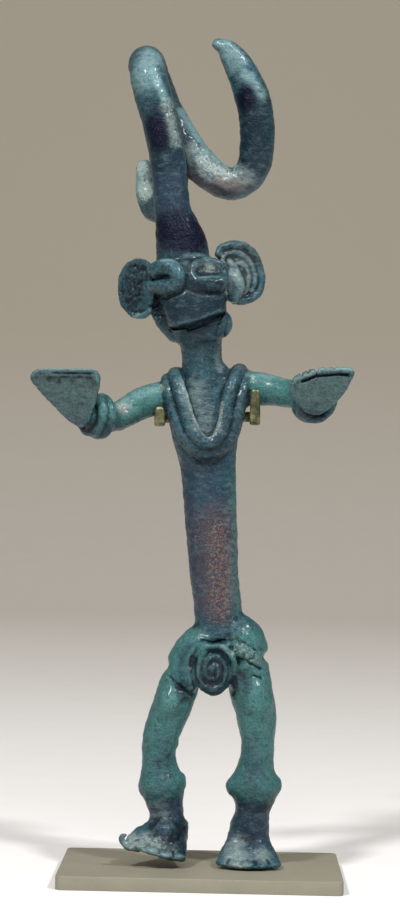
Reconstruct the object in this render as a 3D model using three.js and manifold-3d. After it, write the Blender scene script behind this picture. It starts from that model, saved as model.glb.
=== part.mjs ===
// A small cast bronze figure of a horned, coil-eyed being, held upright over a painted
// foot plate by a bent brass rod with two arm prongs.
// Millimetres, +Z up, the figure faces -Y. Origin: centre of the plate's underside.

import * as THREE from 'three';
import { mergeVertices } from 'three/addons/utils/BufferGeometryUtils.js';
import Module from 'manifold-3d';

const wasm = await Module();
wasm.setup();

// Foot plate
const plateWidth = 66;
const plateDepth = 46;
const plateThickness = 3.2;
const plateCornerRadius = 1.6;

// Figure: height from the soles to the tip of the taller horn. Its pose and proportions
// are shares of this height, written below in steps of one 197th of it.
const figureHeight = 197;
const heightInSteps = 197;
const step = figureHeight / heightInSteps;
const soleGap = 0.3;
const soleLevel = plateThickness + soleGap;

// Support rod. It is bent to suit the figure, so its route is in steps of the figure's
// height too.
const rodDiameter = 2.6;
const rodSocketDepth = 2.2;
const rodSocketClearance = 0.3;
const prongWidth = 2.5;
const prongThickness = 1.2;
const prongClearance = 0.35;

// How fine the solids are: joined corners, grazing corners and hairline triangles
const weldTolerance = 1e-5;
const weldGrids = [0.01, 0.013];
const sliverTolerance = 0.03;

const bronze = new THREE.MeshStandardMaterial({ color: 0x3f6a66, roughness: 0.5, metalness: 0.6 });
const paint = new THREE.MeshStandardMaterial({ color: 0xa39c88, roughness: 0.6, metalness: 0 });
const brass = new THREE.MeshStandardMaterial({ color: 0x9a8f4c, roughness: 0.35, metalness: 0.9 });

const group = new THREE.Group();

// Turns closed three.js geometry into a solid, with its faces pointing out. Triangles that
// the weld flattens, or folds face to face onto one another, are dropped.
function solid(geometry, tolerance = weldTolerance) {
  const bare = geometry.clone();
  bare.deleteAttribute('normal');
  bare.deleteAttribute('uv');
  const welded = mergeVertices(bare, tolerance);
  const place = welded.attributes.position;
  const triangles = new Map();
  const corner = [new THREE.Vector3(), new THREE.Vector3(), new THREE.Vector3()];
  let sixVolumes = 0;
  for (let i = 0; i < welded.index.count; i += 3) {
    const ids = [0, 1, 2].map((k) => welded.index.getX(i + k));
    if (ids[0] === ids[1] || ids[1] === ids[2] || ids[2] === ids[0]) continue;
    ids.forEach((id, k) => corner[k].fromBufferAttribute(place, id));
    sixVolumes += corner[0].dot(corner[1].clone().cross(corner[2]));
    const key = ids.toSorted((a, b) => a - b).join();
    if (triangles.has(key)) triangles.delete(key);
    else triangles.set(key, ids);
  }
  const kept = [...triangles.values()];
  const outward = sixVolumes > 0 ? kept : kept.map(([a, b, c]) => [a, c, b]);
  return new wasm.Manifold(new wasm.Mesh({
    numProp: 3,
    vertProperties: Float32Array.from(place.array),
    triVerts: Uint32Array.from(outward.flat()),
  }));
}

// Welds corners that lie closer than a few hundredths of a millimetre, where two pieces
// graze each other, and drops the hairline triangles between them.
function withoutSlivers(finished) {
  let cleaned = finished.asOriginal().simplify(sliverTolerance);
  for (const tolerance of weldGrids) {
    const mesh = cleaned.getMesh();
    const geometry = new THREE.BufferGeometry();
    geometry.setAttribute('position', new THREE.BufferAttribute(mesh.vertProperties, 3));
    geometry.setIndex(new THREE.BufferAttribute(mesh.triVerts, 1));
    cleaned = solid(geometry, tolerance);
  }
  return cleaned;
}

function union(solids) {
  return solids.reduce((whole, piece) => whole.add(piece));
}

// A casting is metal all through: only its outer shell is kept, not the small sealed
// hollows where rolls and coils cross.
function withoutHollows(whole) {
  return union(whole.decompose().filter((shell) => shell.volume() > 0));
}

// Adds a finished solid to the group as one named mesh.
function addMesh(name, finished, material) {
  const mesh = withoutHollows(withoutSlivers(finished)).getMesh();
  const geometry = new THREE.BufferGeometry();
  geometry.setAttribute('position', new THREE.BufferAttribute(mesh.vertProperties, 3));
  geometry.setIndex(new THREE.BufferAttribute(mesh.triVerts, 1));
  geometry.computeVertexNormals();
  const named = new THREE.Mesh(geometry, material);
  named.name = name;
  group.add(named);
}

// A faceted round drawn through its corners is slimmer than the true one: this factor
// widens its corners until the facets lie half inside and half outside.
function facetSwell(sides) {
  return 2 / (1 + Math.cos(Math.PI / sides));
}

// Eased value between two stations, level at each of them.
function ease(from, to, share) {
  return from + (to - from) * share * share * (3 - 2 * share);
}

// A rounded bar through stations [x, y, z, half width, half depth]. Its ends are domes as
// long as the end's half depth times domeLength. across is the direction of the half width.
function bar(stations, { sides = 12, rows = 16, across = [1, 0, 0], domeLength = [1, 1] } = {}) {
  const domeRows = 2;
  const swell = facetSwell(sides);
  const line = new THREE.CatmullRomCurve3(stations.map(([x, y, z]) => new THREE.Vector3(x, y, z)));
  const geometry = new THREE.SphereGeometry(1, sides, rows + 2 * domeRows);
  const last = stations.length - 1;
  const rings = [];
  let width = new THREE.Vector3(...across).normalize();
  for (let row = 0; row <= rows + 2 * domeRows; row += 1) {
    const share = Math.min(Math.max((row - domeRows) / rows, 0), 1);
    const along = line.getTangent(share);
    width = width.clone().addScaledVector(along, -width.dot(along)).normalize();
    const depth = along.clone().cross(width);
    const segment = Math.min(Math.floor(share * last), last - 1);
    const inner = share * last - segment;
    const from = stations[segment];
    const to = stations[segment + 1];
    const halfWidth = ease(from[3], to[3], inner) * swell;
    const halfDepth = ease(from[4] ?? from[3], to[4] ?? to[3], inner) * swell;
    const before = Math.max(domeRows - row, 0) / domeRows;
    const after = Math.max(row - domeRows - rows, 0) / domeRows;
    const turn = (before + after) * Math.PI / 2;
    const reach = (after * domeLength[1] > 0 ? domeLength[1] : -domeLength[0]) * halfDepth;
    const centre = line.getPoint(share).addScaledVector(along, reach * Math.sin(turn));
    rings.push({ centre, width, depth, halfWidth, halfDepth, shrink: Math.cos(turn) });
  }
  const place = geometry.attributes.position;
  for (let i = 0; i < place.count; i += 1) {
    const row = Math.floor(i / (sides + 1));
    const turn = ((i % (sides + 1)) % sides) / sides * 2 * Math.PI;
    const ring = rings[row];
    const shrink = row === 0 || row === rings.length - 1 ? 0 : ring.shrink;
    const point = ring.centre.clone()
      .addScaledVector(ring.width, Math.cos(turn) * ring.halfWidth * shrink)
      .addScaledVector(ring.depth, Math.sin(turn) * ring.halfDepth * shrink);
    place.setXYZ(i, point.x, point.y, point.z);
  }
  return solid(geometry);
}

// A closed roll of round section round a loop through the points, such as one strand of a
// necklace: a torus whose middle circle is laid along the loop.
function roll(points, radius, { sides = 6, rows }) {
  const loop = new THREE.CatmullRomCurve3(points.map((p) => new THREE.Vector3(...p)), true);
  const frames = loop.computeFrenetFrames(rows, true);
  const geometry = new THREE.TorusGeometry(1, radius, sides, rows);
  const reach = radius * facetSwell(sides);
  const place = geometry.attributes.position;
  for (let i = 0; i < place.count; i += 1) {
    const along = (i % (rows + 1)) % rows;
    const turn = (Math.floor(i / (rows + 1)) % sides) / sides * 2 * Math.PI;
    const point = loop.getPointAt(along / rows)
      .addScaledVector(frames.normals[along], Math.cos(turn) * reach)
      .addScaledVector(frames.binormals[along], Math.sin(turn) * reach);
    place.setXYZ(i, point.x, point.y, point.z);
  }
  return solid(geometry);
}

// An ellipsoid, turned by Euler angles in degrees.
function pebble(centre, radii, turn = [0, 0, 0], facets = [8, 6]) {
  const geometry = new THREE.SphereGeometry(1, ...facets);
  const angles = turn.map(THREE.MathUtils.degToRad);
  geometry.scale(...radii);
  geometry.applyMatrix4(new THREE.Matrix4().makeRotationFromEuler(new THREE.Euler(...angles, 'ZYX')));
  geometry.translate(...centre);
  return solid(geometry);
}

// A ring of round section whose axis points along the given direction.
function ring(centre, axis, radius, thickness, facets = [5, 11]) {
  const geometry = new THREE.TorusGeometry(radius, thickness, ...facets);
  const facing = new THREE.Vector3(...axis).normalize();
  const turn = new THREE.Quaternion().setFromUnitVectors(new THREE.Vector3(0, 0, 1), facing);
  geometry.applyQuaternion(turn);
  geometry.translate(...centre);
  return solid(geometry);
}

// A flat coil wound from its rim to its middle and seated on a thin dished disc, as on the
// ears and at the groin. facing is the way that the coil looks.
function coiledDisc({ centre, facing, halfWidth, halfHeight, turns, strand, discThickness, start = 0 }) {
  const out = new THREE.Vector3(...facing).normalize();
  const up = new THREE.Vector3(0, 0, 1).addScaledVector(out, -out.z).normalize();
  const side = up.clone().cross(out);
  const middle = new THREE.Vector3(...centre);
  const pointsPerTurn = 10;
  const count = Math.round(turns * pointsPerTurn);
  const stations = [];
  const innerShare = 0.14;
  for (let i = 0; i <= count; i += 1) {
    const angle = start + i / pointsPerTurn * 2 * Math.PI;
    const inward = 1 - (1 - innerShare) * i / count;
    const point = middle.clone()
      .addScaledVector(side, Math.cos(angle) * (halfWidth - strand) * inward)
      .addScaledVector(up, Math.sin(angle) * (halfHeight - strand) * inward);
    stations.push([point.x, point.y, point.z, strand, strand]);
  }
  const rowsPerPoint = 1.1;
  const rows = Math.round(count * rowsPerPoint);
  const coil = bar(stations, { sides: 5, rows, across: out.toArray() });
  const disc = new THREE.SphereGeometry(1, 14, 5);
  disc.scale(halfWidth - strand / 2, halfHeight - strand / 2, discThickness);
  disc.applyMatrix4(new THREE.Matrix4().makeBasis(side, up, out));
  const seat = middle.clone().addScaledVector(out, -discThickness / 2);
  disc.translate(seat.x, seat.y, seat.z);
  return coil.add(solid(disc));
}

// Neck and trunk: a long tapering bar, broad only at the shoulders.
function trunk() {
  const stations = [
    [-2.4, 1.2, 126, 4.9, 4.6],
    [-2.0, 1.8, 118.5, 4.9, 4.6],
    [-0.6, 3.0, 112.2, 10.2, 5.0],
    [-0.9, 3.0, 102, 8.6, 5.4],
    [0.1, 3.0, 91, 6.5, 5.4],
    [1.7, 3.0, 70, 5.8, 5.3],
    [3.0, 3.0, 50, 5.8, 5.2],
  ];
  return bar(stations, { sides: 12, rows: 14 });
}

// Crest: rises from the crown, folds back over itself, comes down behind and turns up again
// as the taller horn. The shorter horn branches off behind it and turns up on the other side.
function crestAndHorns() {
  const crest = [
    [-6.8, 1.0, 141, 6.6, 5.6],
    [-7.8, 1.0, 148, 5.9, 5.2],
    [-9.8, 1.0, 154.5, 4.4, 4.3],
    [-10.6, 1.0, 164, 4.3, 4.3],
    [-13.1, 1.0, 176, 4.45, 4.4],
    [-15.7, 1.6, 185.5, 4.5, 4.4],
    [-16.9, 5.8, 190.7, 4.4, 4.3],
    [-15.4, 10.2, 187.2, 4.35, 4.3],
    [-11.6, 10.6, 178.8, 4.35, 4.3],
    [-6.4, 9.6, 169.9, 4.3, 4.3],
    [-0.5, 8.6, 163.9, 4.15, 4.1],
    [4.8, 7.8, 162, 3.85, 3.8],
    [9.0, 6.8, 165.2, 4.0, 3.9],
    [10.3, 6.0, 172, 4.15, 4.0],
    [9.3, 5.2, 179.4, 4.2, 4.0],
    [7.2, 4.6, 185.9, 3.8, 3.6],
    [4.4, 4.0, 190.8, 3.0, 3.0],
    [1.9, 3.6, 193.9, 2.0, 2.1],
    [0.2, 3.4, 195.2, 1.3, 1.4],
  ];
  const shortHorn = [
    [-11.2, 10.6, 176, 3.4, 3.6],
    [-10.0, 12.2, 167, 3.7, 3.6],
    [-10.8, 15.6, 160, 3.7, 3.6],
    [-14.2, 20.0, 157.2, 3.5, 3.5],
    [-16.6, 22.4, 162.2, 3.0, 3.1],
    [-17.5, 22.4, 167.8, 2.0, 2.1],
  ];
  return union([
    bar(crest, { sides: 9, rows: 34 }),
    pebble([0.7, 3.4, 195.1], [1.7, 1.6, 1.7], [0, 0, 0], [7, 5]),
    bar(shortHorn, { sides: 8, rows: 7 }),
  ]);
}

// Head: a wide cranium, a broad blunt muzzle that leans out over the neck, and a lower jaw
// parted from it by one slanting slit.
function head() {
  const cranium = pebble([-4.9, 0.6, 138.6], [10.2, 7.2, 5.6], [0, 0, 0], [14, 8]);
  const muzzle = bar([
    [-4.4, -1.0, 137.8, 9.0, 6.6],
    [-4.2, -2.6, 132.4, 8.4, 6.8],
    [-3.4, -2.6, 128.4, 7.4, 5.9],
  ], { sides: 10, rows: 4, domeLength: [0.6, 0.5] });
  const jaw = bar([
    [-3.0, -1.0, 129.8, 7.8, 5.4],
    [-2.7, 0.2, 125.6, 6.5, 4.8],
  ], { sides: 10, rows: 3, domeLength: [0.4, 0.6] });
  const slitHalfHeight = 0.45;
  const slitSlope = -17;
  const slit = pebble(
    [-3.0, -8.0, 127.7],
    [10.5, 4.6, slitHalfHeight],
    [0, slitSlope, 0],
    [14, 4],
  );
  return union([cranium, muzzle, jaw]).subtract(slit);
}

// Eyes: on one side a strip bent into a hairpin, on the other a thick ring round a pit.
function eyes() {
  const strip = 1.75;
  const hairpin = bar([
    [-14.6, -4.6, 140.2, strip],
    [-10.9, -7.0, 140.4, strip],
    [-8.2, -8.2, 139.5, strip],
    [-8.0, -8.4, 137.6, strip],
    [-10.8, -7.6, 135.8, strip],
    [-14.4, -5.0, 135.4, strip],
  ], { sides: 7, rows: 14, across: [0, 1, 0] });
  const thickRing = ring([-1.0, -6.6, 139.4], [0.15, -1, 0.45], 2.9, 1.75, [7, 14]);
  return union([hairpin, thickRing]);
}

// Ears: one coil turned well away from the front, the other nearly facing it.
function ears() {
  const near = coiledDisc({
    centre: [-18.0, 0.8, 136.0],
    facing: [-0.79, -0.62, 0],
    halfWidth: 7.5,
    halfHeight: 7.6,
    turns: 1.9,
    strand: 1.1,
    discThickness: 1.5,
    start: 0.4,
  });
  const wide = coiledDisc({
    centre: [6.7, 0.6, 140.2],
    facing: [0.5, -0.87, 0],
    halfWidth: 7.5,
    halfHeight: 7.8,
    turns: 2.4,
    strand: 1.1,
    discThickness: 1.5,
    start: 3.6,
  });
  return union([
    near,
    wide,
    pebble([-13.6, 0.4, 135.4], [2.4, 3.4, 5.2]),
    pebble([4.6, -1.2, 137.4], [2.6, 3.2, 4.2]),
  ]);
}

// Necklace: two strands over both shoulders, deep in front and level behind the neck.
function necklace() {
  const inner = [
    [-0.2, -4.3, 98.9],
    [-3.0, -4.2, 101],
    [-5.0, -3.8, 105],
    [-6.9, -3.2, 110.4],
    [-8.3, -1.2, 114.8],
    [-8.6, 3.4, 116.3],
    [-5.0, 8.0, 115.6],
    [3.6, 8.0, 115.8],
    [7.2, 3.4, 117.2],
    [6.0, -1.2, 115.2],
    [4.4, -3.2, 110],
    [3.7, -3.8, 104.4],
    [2.2, -4.2, 100.4],
  ];
  const outer = [
    [-0.2, -3.5, 97],
    [-3.6, -3.5, 98.6],
    [-6.4, -3.0, 102],
    [-8.9, -2.2, 107.6],
    [-10.3, 0.0, 113.6],
    [-10.3, 3.4, 115.2],
    [-5.4, 8.4, 113.2],
    [4.0, 8.4, 113.4],
    [9.0, 3.4, 116.2],
    [8.2, -0.4, 114.2],
    [7.1, -2.4, 107.6],
    [5.6, -3.0, 101.6],
    [2.9, -3.5, 98.2],
  ];
  return union([
    roll(inner, 1.9, { rows: 30 }),
    roll(outer, 1.25, { rows: 30 }),
  ]);
}

// A hand: a flat fan widening from the wrist to a straight edge of fingers. The outline is
// drawn as seen from the front, about its wrist, and the fan leans by lean degrees.
function hand(outline, wrist, lean) {
  const thickness = 1.1;
  const bevel = 0.45;
  const shape = new THREE.Shape();
  const points = outline.map(([x, z]) => new THREE.Vector2(x, z));
  shape.setFromPoints(new THREE.SplineCurve([...points, points[0]]).getPoints(18).slice(0, -1));
  const fan = new THREE.ExtrudeGeometry(shape, {
    depth: thickness,
    bevelThickness: bevel,
    bevelSize: bevel,
    bevelOffset: -bevel,
    bevelSegments: 1,
    curveSegments: 4,
  });
  fan.translate(0, 0, -thickness / 2);
  fan.rotateX(THREE.MathUtils.degToRad(90 + lean));
  fan.translate(...wrist);
  return solid(fan);
}

// Arms: held out sideways, the forearms bent to the front, each with coils at the wrist.
function arms() {
  const coil = 1.2;
  const leftArm = bar([
    [-6.5, 3.0, 110.8, 4.1],
    [-12.3, 2.0, 110, 3.95],
    [-17.0, 0.8, 108.2, 3.8],
    [-21.2, -1.4, 105.6, 3.5],
    [-26.0, -5.2, 105.2, 3.6],
    [-30.0, -8.6, 105.6, 2.9],
  ], { sides: 8, rows: 9, across: [0, 0, 1], domeLength: [1, 0.25] });
  const rightArm = bar([
    [6.5, 3.0, 112.8, 4.0],
    [12.4, 2.2, 112.7, 4.0],
    [17.0, 0.4, 112, 3.5],
    [21.0, -2.4, 111.2, 3.3],
    [24.4, -6.0, 110, 3.6],
    [25.2, -9.2, 109.4, 2.8],
  ], { sides: 8, rows: 9, across: [0, 0, 1], domeLength: [1, 0.25] });
  const leftHand = hand([
    [-9.8, 13.0], [-3, 13.2], [3.2, 13.0], [5.6, 11.2], [4.8, 6.4], [1.6, 0.4],
    [-2.0, -1.0], [-5.6, 1.6], [-9.4, 7.0], [-11.6, 10.6],
  ], [-30.8, -9.4, 102.9], 14);
  const rightHand = hand([
    [-4.6, 9.2], [1.0, 10.8], [7.4, 12.2], [10.0, 10.8], [8.0, 6.6], [4.4, 1.8],
    [0.4, -0.2], [-3.6, 2.6], [-6.4, 6.6],
  ], [24.4, -10.0, 105.6], 10);
  return union([
    leftArm,
    rightArm,
    leftHand,
    rightHand,
    ring([-25.9, -5.3, 105.3], [-0.72, -0.68, 0.05], 4.45, coil),
    ring([-27.8, -6.8, 105.6], [-0.72, -0.68, 0.05], 4.2, coil),
    ring([24.2, -5.6, 110], [0.3, -0.95, -0.2], 4.55, coil),
    ring([24.8, -7.4, 109.7], [0.3, -0.95, -0.2], 4.3, coil),
  ]);
}

// Hips: the thighs run together over the foot of the trunk, with a coiled disc in front and
// a strap from it to each side.
function hips() {
  const disc = coiledDisc({
    centre: [2.1, -4.3, 46.1],
    facing: [0, -1, 0],
    halfWidth: 5.1,
    halfHeight: 6.9,
    turns: 2.3,
    strand: 1.05,
    discThickness: 1.6,
    start: 4.2,
  });
  const strapLeft = bar([
    [-0.6, -3.6, 46, 2.4, 1.4],
    [-4.4, -3.0, 45, 2.6, 1.4],
    [-7.4, 0.2, 46.6, 2.6, 1.2],
  ], { sides: 6, rows: 5, across: [0, 0, 1] });
  const strapRight = bar([
    [4.6, -3.6, 48.4, 2.0, 1.4],
    [9.0, -3.4, 49.4, 2.0, 1.4],
    [13.6, 0.0, 49.0, 2.0, 1.2],
  ], { sides: 6, rows: 5, across: [0, 0, 1] });
  return union([disc, strapLeft, strapRight]);
}

// Legs: bowed thighs, a swelling above each short shank.
function legs() {
  const left = bar([
    [3.0, 3.0, 52.6, 5.6, 5.4],
    [-0.8, 3.0, 51.2, 5.4, 5.4],
    [-4.0, 2.4, 47, 5.0, 5.2],
    [-6.4, 1.2, 39.6, 4.75, 4.9],
    [-9.8, 0.4, 31, 4.2, 4.5],
    [-10.5, 0.4, 24.6, 4.0, 4.2],
    [-9.5, 0.4, 18.6, 5.9, 5.6],
    [-8.8, 0.6, 13.4, 4.1, 4.2],
    [-8.2, 0.8, 8.6, 4.4, 4.4],
  ], { sides: 10, rows: 15 });
  const right = bar([
    [3.0, 3.0, 53.0, 5.6, 5.4],
    [8.4, 2.8, 53.6, 5.9, 5.5],
    [10.3, 1.8, 45.4, 5.3, 5.2],
    [12.3, 1.2, 36.2, 4.7, 4.9],
    [13.0, 0.6, 27.4, 3.9, 4.3],
    [12.7, 0.5, 23.2, 4.2, 4.3],
    [12.2, 0.5, 18.6, 6.9, 5.8],
    [12.0, 0.7, 12.8, 4.1, 4.2],
    [11.4, 0.9, 8.4, 4.9, 4.6],
  ], { sides: 10, rows: 15 });
  return union([left, right]);
}

// A foot, modelled flat about its ankle with the toes towards -Y: a wedge that spreads
// into five toes. It is then headed and tipped in degrees and set at its place.
function foot({ at, heading, tip, ankleHeight }) {
  const instep = bar([
    [0, 1.4, ankleHeight, 4.5, 4.4],
    [0, 0.6, ankleHeight * 0.55, 5.6, 5.0],
    [0, -3.2, 3.0, 7.0, 3.0],
    [0, -6.4, 1.3, 7.7, 1.5],
  ], { sides: 10, rows: 6, domeLength: [0.3, 1.6] });
  const heel = pebble([0, 2.6, 1.6], [4.6, 4.4, 3.4], [0, 0, 0], [10, 6]);
  const toeSpread = 19;
  const toeReach = [9.2, 9.9];
  const toes = [-2, -1, 0, 1, 2].map((place) => {
    const turn = place * toeSpread;
    const fan = THREE.MathUtils.degToRad(turn);
    const toeCentre = [Math.sin(fan) * toeReach[0], 1.0 - Math.cos(fan) * toeReach[1], 1.1];
    return pebble(toeCentre, [1.65, 2.8, 1.2], [0, 0, turn], [6, 4]);
  });
  const belowSole = { across: 40, deep: 10 };
  const below = new THREE.BoxGeometry(belowSole.across, belowSole.across, belowSole.deep);
  below.translate(0, 0, -belowSole.deep / 2);
  const whole = union([instep, heel, ...toes]).subtract(solid(below));
  return whole.rotate([0, tip, 0]).rotate([0, 0, heading]).translate(at);
}

function feet() {
  const right = foot({ at: [11.2, 0, 0], heading: 0, tip: 0, ankleHeight: 9 });
  const left = foot({ at: [-9.6, 0, 2.9], heading: -12, tip: 16, ankleHeight: 7 });
  const curledToe = bar([
    [-15.3, -6.6, 4.3, 1.3],
    [-17.6, -7.6, 4.9, 1.1],
    [-18.5, -7.9, 6.5, 0.75],
    [-17.7, -7.9, 7.2, 0.7],
  ], { sides: 6, rows: 7 });
  return union([right, left, curledToe]);
}

// The whole casting, scaled from its steps to its real height and stood over the plate.
function figurine() {
  const casting = union([
    trunk(), crestAndHorns(), head(), eyes(), ears(), necklace(), arms(), hips(), legs(), feet(),
  ]);
  return casting.scale([step, step, step]).translate([0, 0, soleLevel]);
}

// Foot plate: a rounded rectangle with a blind socket for the rod.
function footPlate() {
  const shape = new THREE.Shape();
  const x = plateWidth / 2;
  const y = plateDepth / 2;
  const r = plateCornerRadius;
  shape.moveTo(-x + r, -y);
  shape.absarc(x - r, -y + r, r, -Math.PI / 2, 0);
  shape.absarc(x - r, y - r, r, 0, Math.PI / 2);
  shape.absarc(-x + r, y - r, r, Math.PI / 2, Math.PI);
  shape.absarc(-x + r, -y + r, r, Math.PI, 1.5 * Math.PI);
  const plate = new THREE.ExtrudeGeometry(shape, {
    depth: plateThickness,
    bevelEnabled: false,
    curveSegments: 5,
  });
  const socketRadius = rodDiameter / 2 + rodSocketClearance;
  const socketFacets = 24;
  const socket = new THREE.CylinderGeometry(
    socketRadius,
    socketRadius,
    2 * rodSocketDepth,
    socketFacets,
  );
  socket.rotateX(Math.PI / 2);
  socket.translate(...rodFoot(), plateThickness);
  return solid(plate).subtract(solid(socket));
}

// Where the rod stands on the plate: behind one foot, clear of its heel.
function rodFoot() {
  return [12.2 * step, 13.9 * step + rodDiameter / 2];
}

// Support rod: up behind one leg, in behind the trunk, to a crossbar behind the arms. A
// flat prong at each end of the crossbar passes under the arm and turns up in front of it.
function supportRod() {
  const radius = rodDiameter / 2;
  const lift = (z) => soleLevel + z * step;
  const socketFloor = plateThickness - rodSocketDepth + rodSocketClearance;
  const [footX, footY] = rodFoot();
  const behind = (y) => y * step + radius;
  const crossbarY = behind(9.6);
  const crossbarRise = 1.2;
  const middleX = -0.4 * step;
  const post = bar([
    [footX, footY, socketFloor + radius, radius],
    [footX, footY, lift(20), radius],
    [11.6 * step, footY, lift(40), radius],
    [6.6 * step, behind(12.3), lift(54), radius],
    [2.6 * step, behind(10.3), lift(68), radius],
    [0.6 * step, crossbarY, lift(90), radius],
    [middleX, crossbarY, lift(105.8), radius],
  ], { sides: 8, rows: 18, domeLength: [1, 0.5] });
  const left = { x: -11.7 * step, armUnderside: 106.05, tip: 107.4, drop: 0.7 };
  const right = { x: 10.8 * step, armUnderside: 108.65, tip: 111.9, drop: 2.6 };
  const crossbar = bar([
    [left.x, crossbarY, bedLevel(left) + crossbarRise, prongThickness, prongWidth / 2],
    [middleX, crossbarY, lift(105.8), prongThickness, prongWidth / 2],
    [right.x, crossbarY, bedLevel(right) + crossbarRise, prongThickness, prongWidth / 2],
  ], { sides: 6, rows: 6, across: [0, 1, 0], domeLength: [0.4, 0.4] });
  return union([post, crossbar, prong(left), prong(right)]);

  // Height of the flat strip under an arm: clear of its underside, and drop lower again.
  function bedLevel({ armUnderside, drop }) {
    return lift(armUnderside) - prongClearance - prongThickness / 2 - drop;
  }

  function prong(side) {
    const bed = bedLevel(side);
    const half = [prongWidth / 2, prongThickness / 2];
    const frontY = -3.3 * step - prongThickness / 2;
    return bar([
      [side.x, crossbarY, bed + crossbarRise, ...half],
      [side.x, 5.0 * step, bed, ...half],
      [side.x, 0.5 * step, bed, ...half],
      [side.x, frontY + 1.5, bed - 0.7, ...half],
      [side.x, frontY, bed + 0.9, ...half],
      [side.x, frontY - 0.1, lift(side.tip), ...half],
    ], { sides: 6, rows: 14 });
  }
}

addMesh('figurine', figurine(), bronze);
addMesh('foot_plate', footPlate(), paint);
addMesh('support_rod', supportRod(), brass);

export default group;
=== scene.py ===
import math

import bpy
import numpy as np
from mathutils import Matrix, Vector


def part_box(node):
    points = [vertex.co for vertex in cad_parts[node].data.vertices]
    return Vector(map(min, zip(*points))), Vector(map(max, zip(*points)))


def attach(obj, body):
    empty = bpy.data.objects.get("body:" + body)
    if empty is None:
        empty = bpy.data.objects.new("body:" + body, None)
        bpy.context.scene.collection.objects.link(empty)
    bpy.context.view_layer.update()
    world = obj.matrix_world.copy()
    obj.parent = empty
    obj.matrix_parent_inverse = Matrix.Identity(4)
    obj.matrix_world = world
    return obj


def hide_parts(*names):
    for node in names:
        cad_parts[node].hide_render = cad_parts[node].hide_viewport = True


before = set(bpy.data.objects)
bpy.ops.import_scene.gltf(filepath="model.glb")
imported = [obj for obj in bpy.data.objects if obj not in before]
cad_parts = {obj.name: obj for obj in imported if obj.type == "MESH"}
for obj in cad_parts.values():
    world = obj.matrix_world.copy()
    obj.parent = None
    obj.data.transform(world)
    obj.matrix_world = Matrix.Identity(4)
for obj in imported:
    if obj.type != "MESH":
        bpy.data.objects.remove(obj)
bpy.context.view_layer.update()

# Foot plate: a small rectangle cut from 3 mm steel plate, its corners and edges eased
# with a file, drilled for the rod and sprayed with a matt taupe paint.
MM = 0.001
PLATE_LOW, PLATE_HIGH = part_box("foot_plate")
PLATE_CORNER = 1.6 * MM
PLATE_EDGE = 0.28 * MM
ROD_FOOT = (12.2, 15.2)
SOCKET_RADIUS = 1.6 * MM
SOCKET_DEPTH = 2.2 * MM


def select_only(*objects):
    bpy.ops.object.select_all(action="DESELECT")
    for each in objects:
        each.select_set(True)
    bpy.context.view_layer.objects.active = objects[0]


def linear(hex_colour):
    """An sRGB hex colour as the linear red, green, blue and alpha that a socket takes."""
    shares = [int(hex_colour[i:i + 2], 16) / 255 for i in (1, 3, 5)]
    return [s / 12.92 if s <= 0.04045 else ((s + 0.055) / 1.055) ** 2.4 for s in shares] + [1]


def add(material, kind, settings, inputs, output=0):
    """Adds a node with its settings, and links or sets its inputs. Returns one output."""
    tree = material.node_tree
    node = tree.nodes.new(kind)
    for name, value in settings.items():
        setattr(node, name, value)
    for name, value in inputs.items():
        if isinstance(value, bpy.types.NodeSocket):
            tree.links.new(value, node.inputs[name])
        elif isinstance(value, str):
            node.inputs[name].default_value = linear(value)
        else:
            node.inputs[name].default_value = value
    return node.outputs[output] if node.outputs else node


def new_material(name):
    material = bpy.data.materials.new(name)
    material.use_nodes = True
    material.node_tree.nodes.clear()
    return material


def edit_edges(piece, wanted):
    """Goes into edit mode with only those edges selected whose two ends pass the test."""
    bpy.ops.object.mode_set(mode="EDIT")
    bpy.ops.mesh.select_mode(type="EDGE")
    bpy.ops.mesh.select_all(action="DESELECT")
    bpy.ops.object.mode_set(mode="OBJECT")
    for edge in piece.data.edges:
        edge.select = wanted(*[piece.data.vertices[i].co for i in edge.vertices])
    bpy.ops.object.mode_set(mode="EDIT")


# Sprayed taupe paint: dull, very slightly mottled where it was dusted on, with a fine
# orange peel and a few darker specks of dust caught in the film.
MOTTLES_PER_MM = 0.16
PEEL_PER_MM = 2.6
SPECKS_PER_MM = 0.7
paint = new_material("matt_taupe_spray_paint")
place = add(paint, "ShaderNodeTexCoord", {}, {}, "Object")
mottle = add(paint, "ShaderNodeTexNoise", {},
             {"Vector": place, "Scale": MOTTLES_PER_MM / MM, "Detail": 5})
peel = add(paint, "ShaderNodeTexNoise", {},
           {"Vector": place, "Scale": PEEL_PER_MM / MM, "Detail": 2})
specks = add(paint, "ShaderNodeTexVoronoi", {},
             {"Vector": place, "Scale": SPECKS_PER_MM / MM}, "Distance")
mottled = add(paint, "ShaderNodeMix", {"data_type": "RGBA"},
              {0: mottle, 6: "#7a7566", 7: "#888372"}, 2)
speck_mask = add(paint, "ShaderNodeMapRange", {},
                 {"Value": specks, 1: 0.05, 2: 0.16, 3: 0.5, 4: 0.0})
speckled = add(paint, "ShaderNodeMix", {"data_type": "RGBA"},
               {0: speck_mask, 6: mottled, 7: "#686354"}, 2)
peel_bump = add(paint, "ShaderNodeBump", {},
                {"Strength": 0.25, "Distance": 0.05 * MM, "Height": peel})
dullness = add(paint, "ShaderNodeMapRange", {},
               {"Value": mottle, 1: 0.3, 2: 0.7, 3: 0.48, 4: 0.62})
shader = add(paint, "ShaderNodeBsdfPrincipled", {},
             {"Base Color": speckled, "Roughness": dullness, "Normal": peel_bump})
add(paint, "ShaderNodeOutputMaterial", {}, {"Surface": shader})

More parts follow.
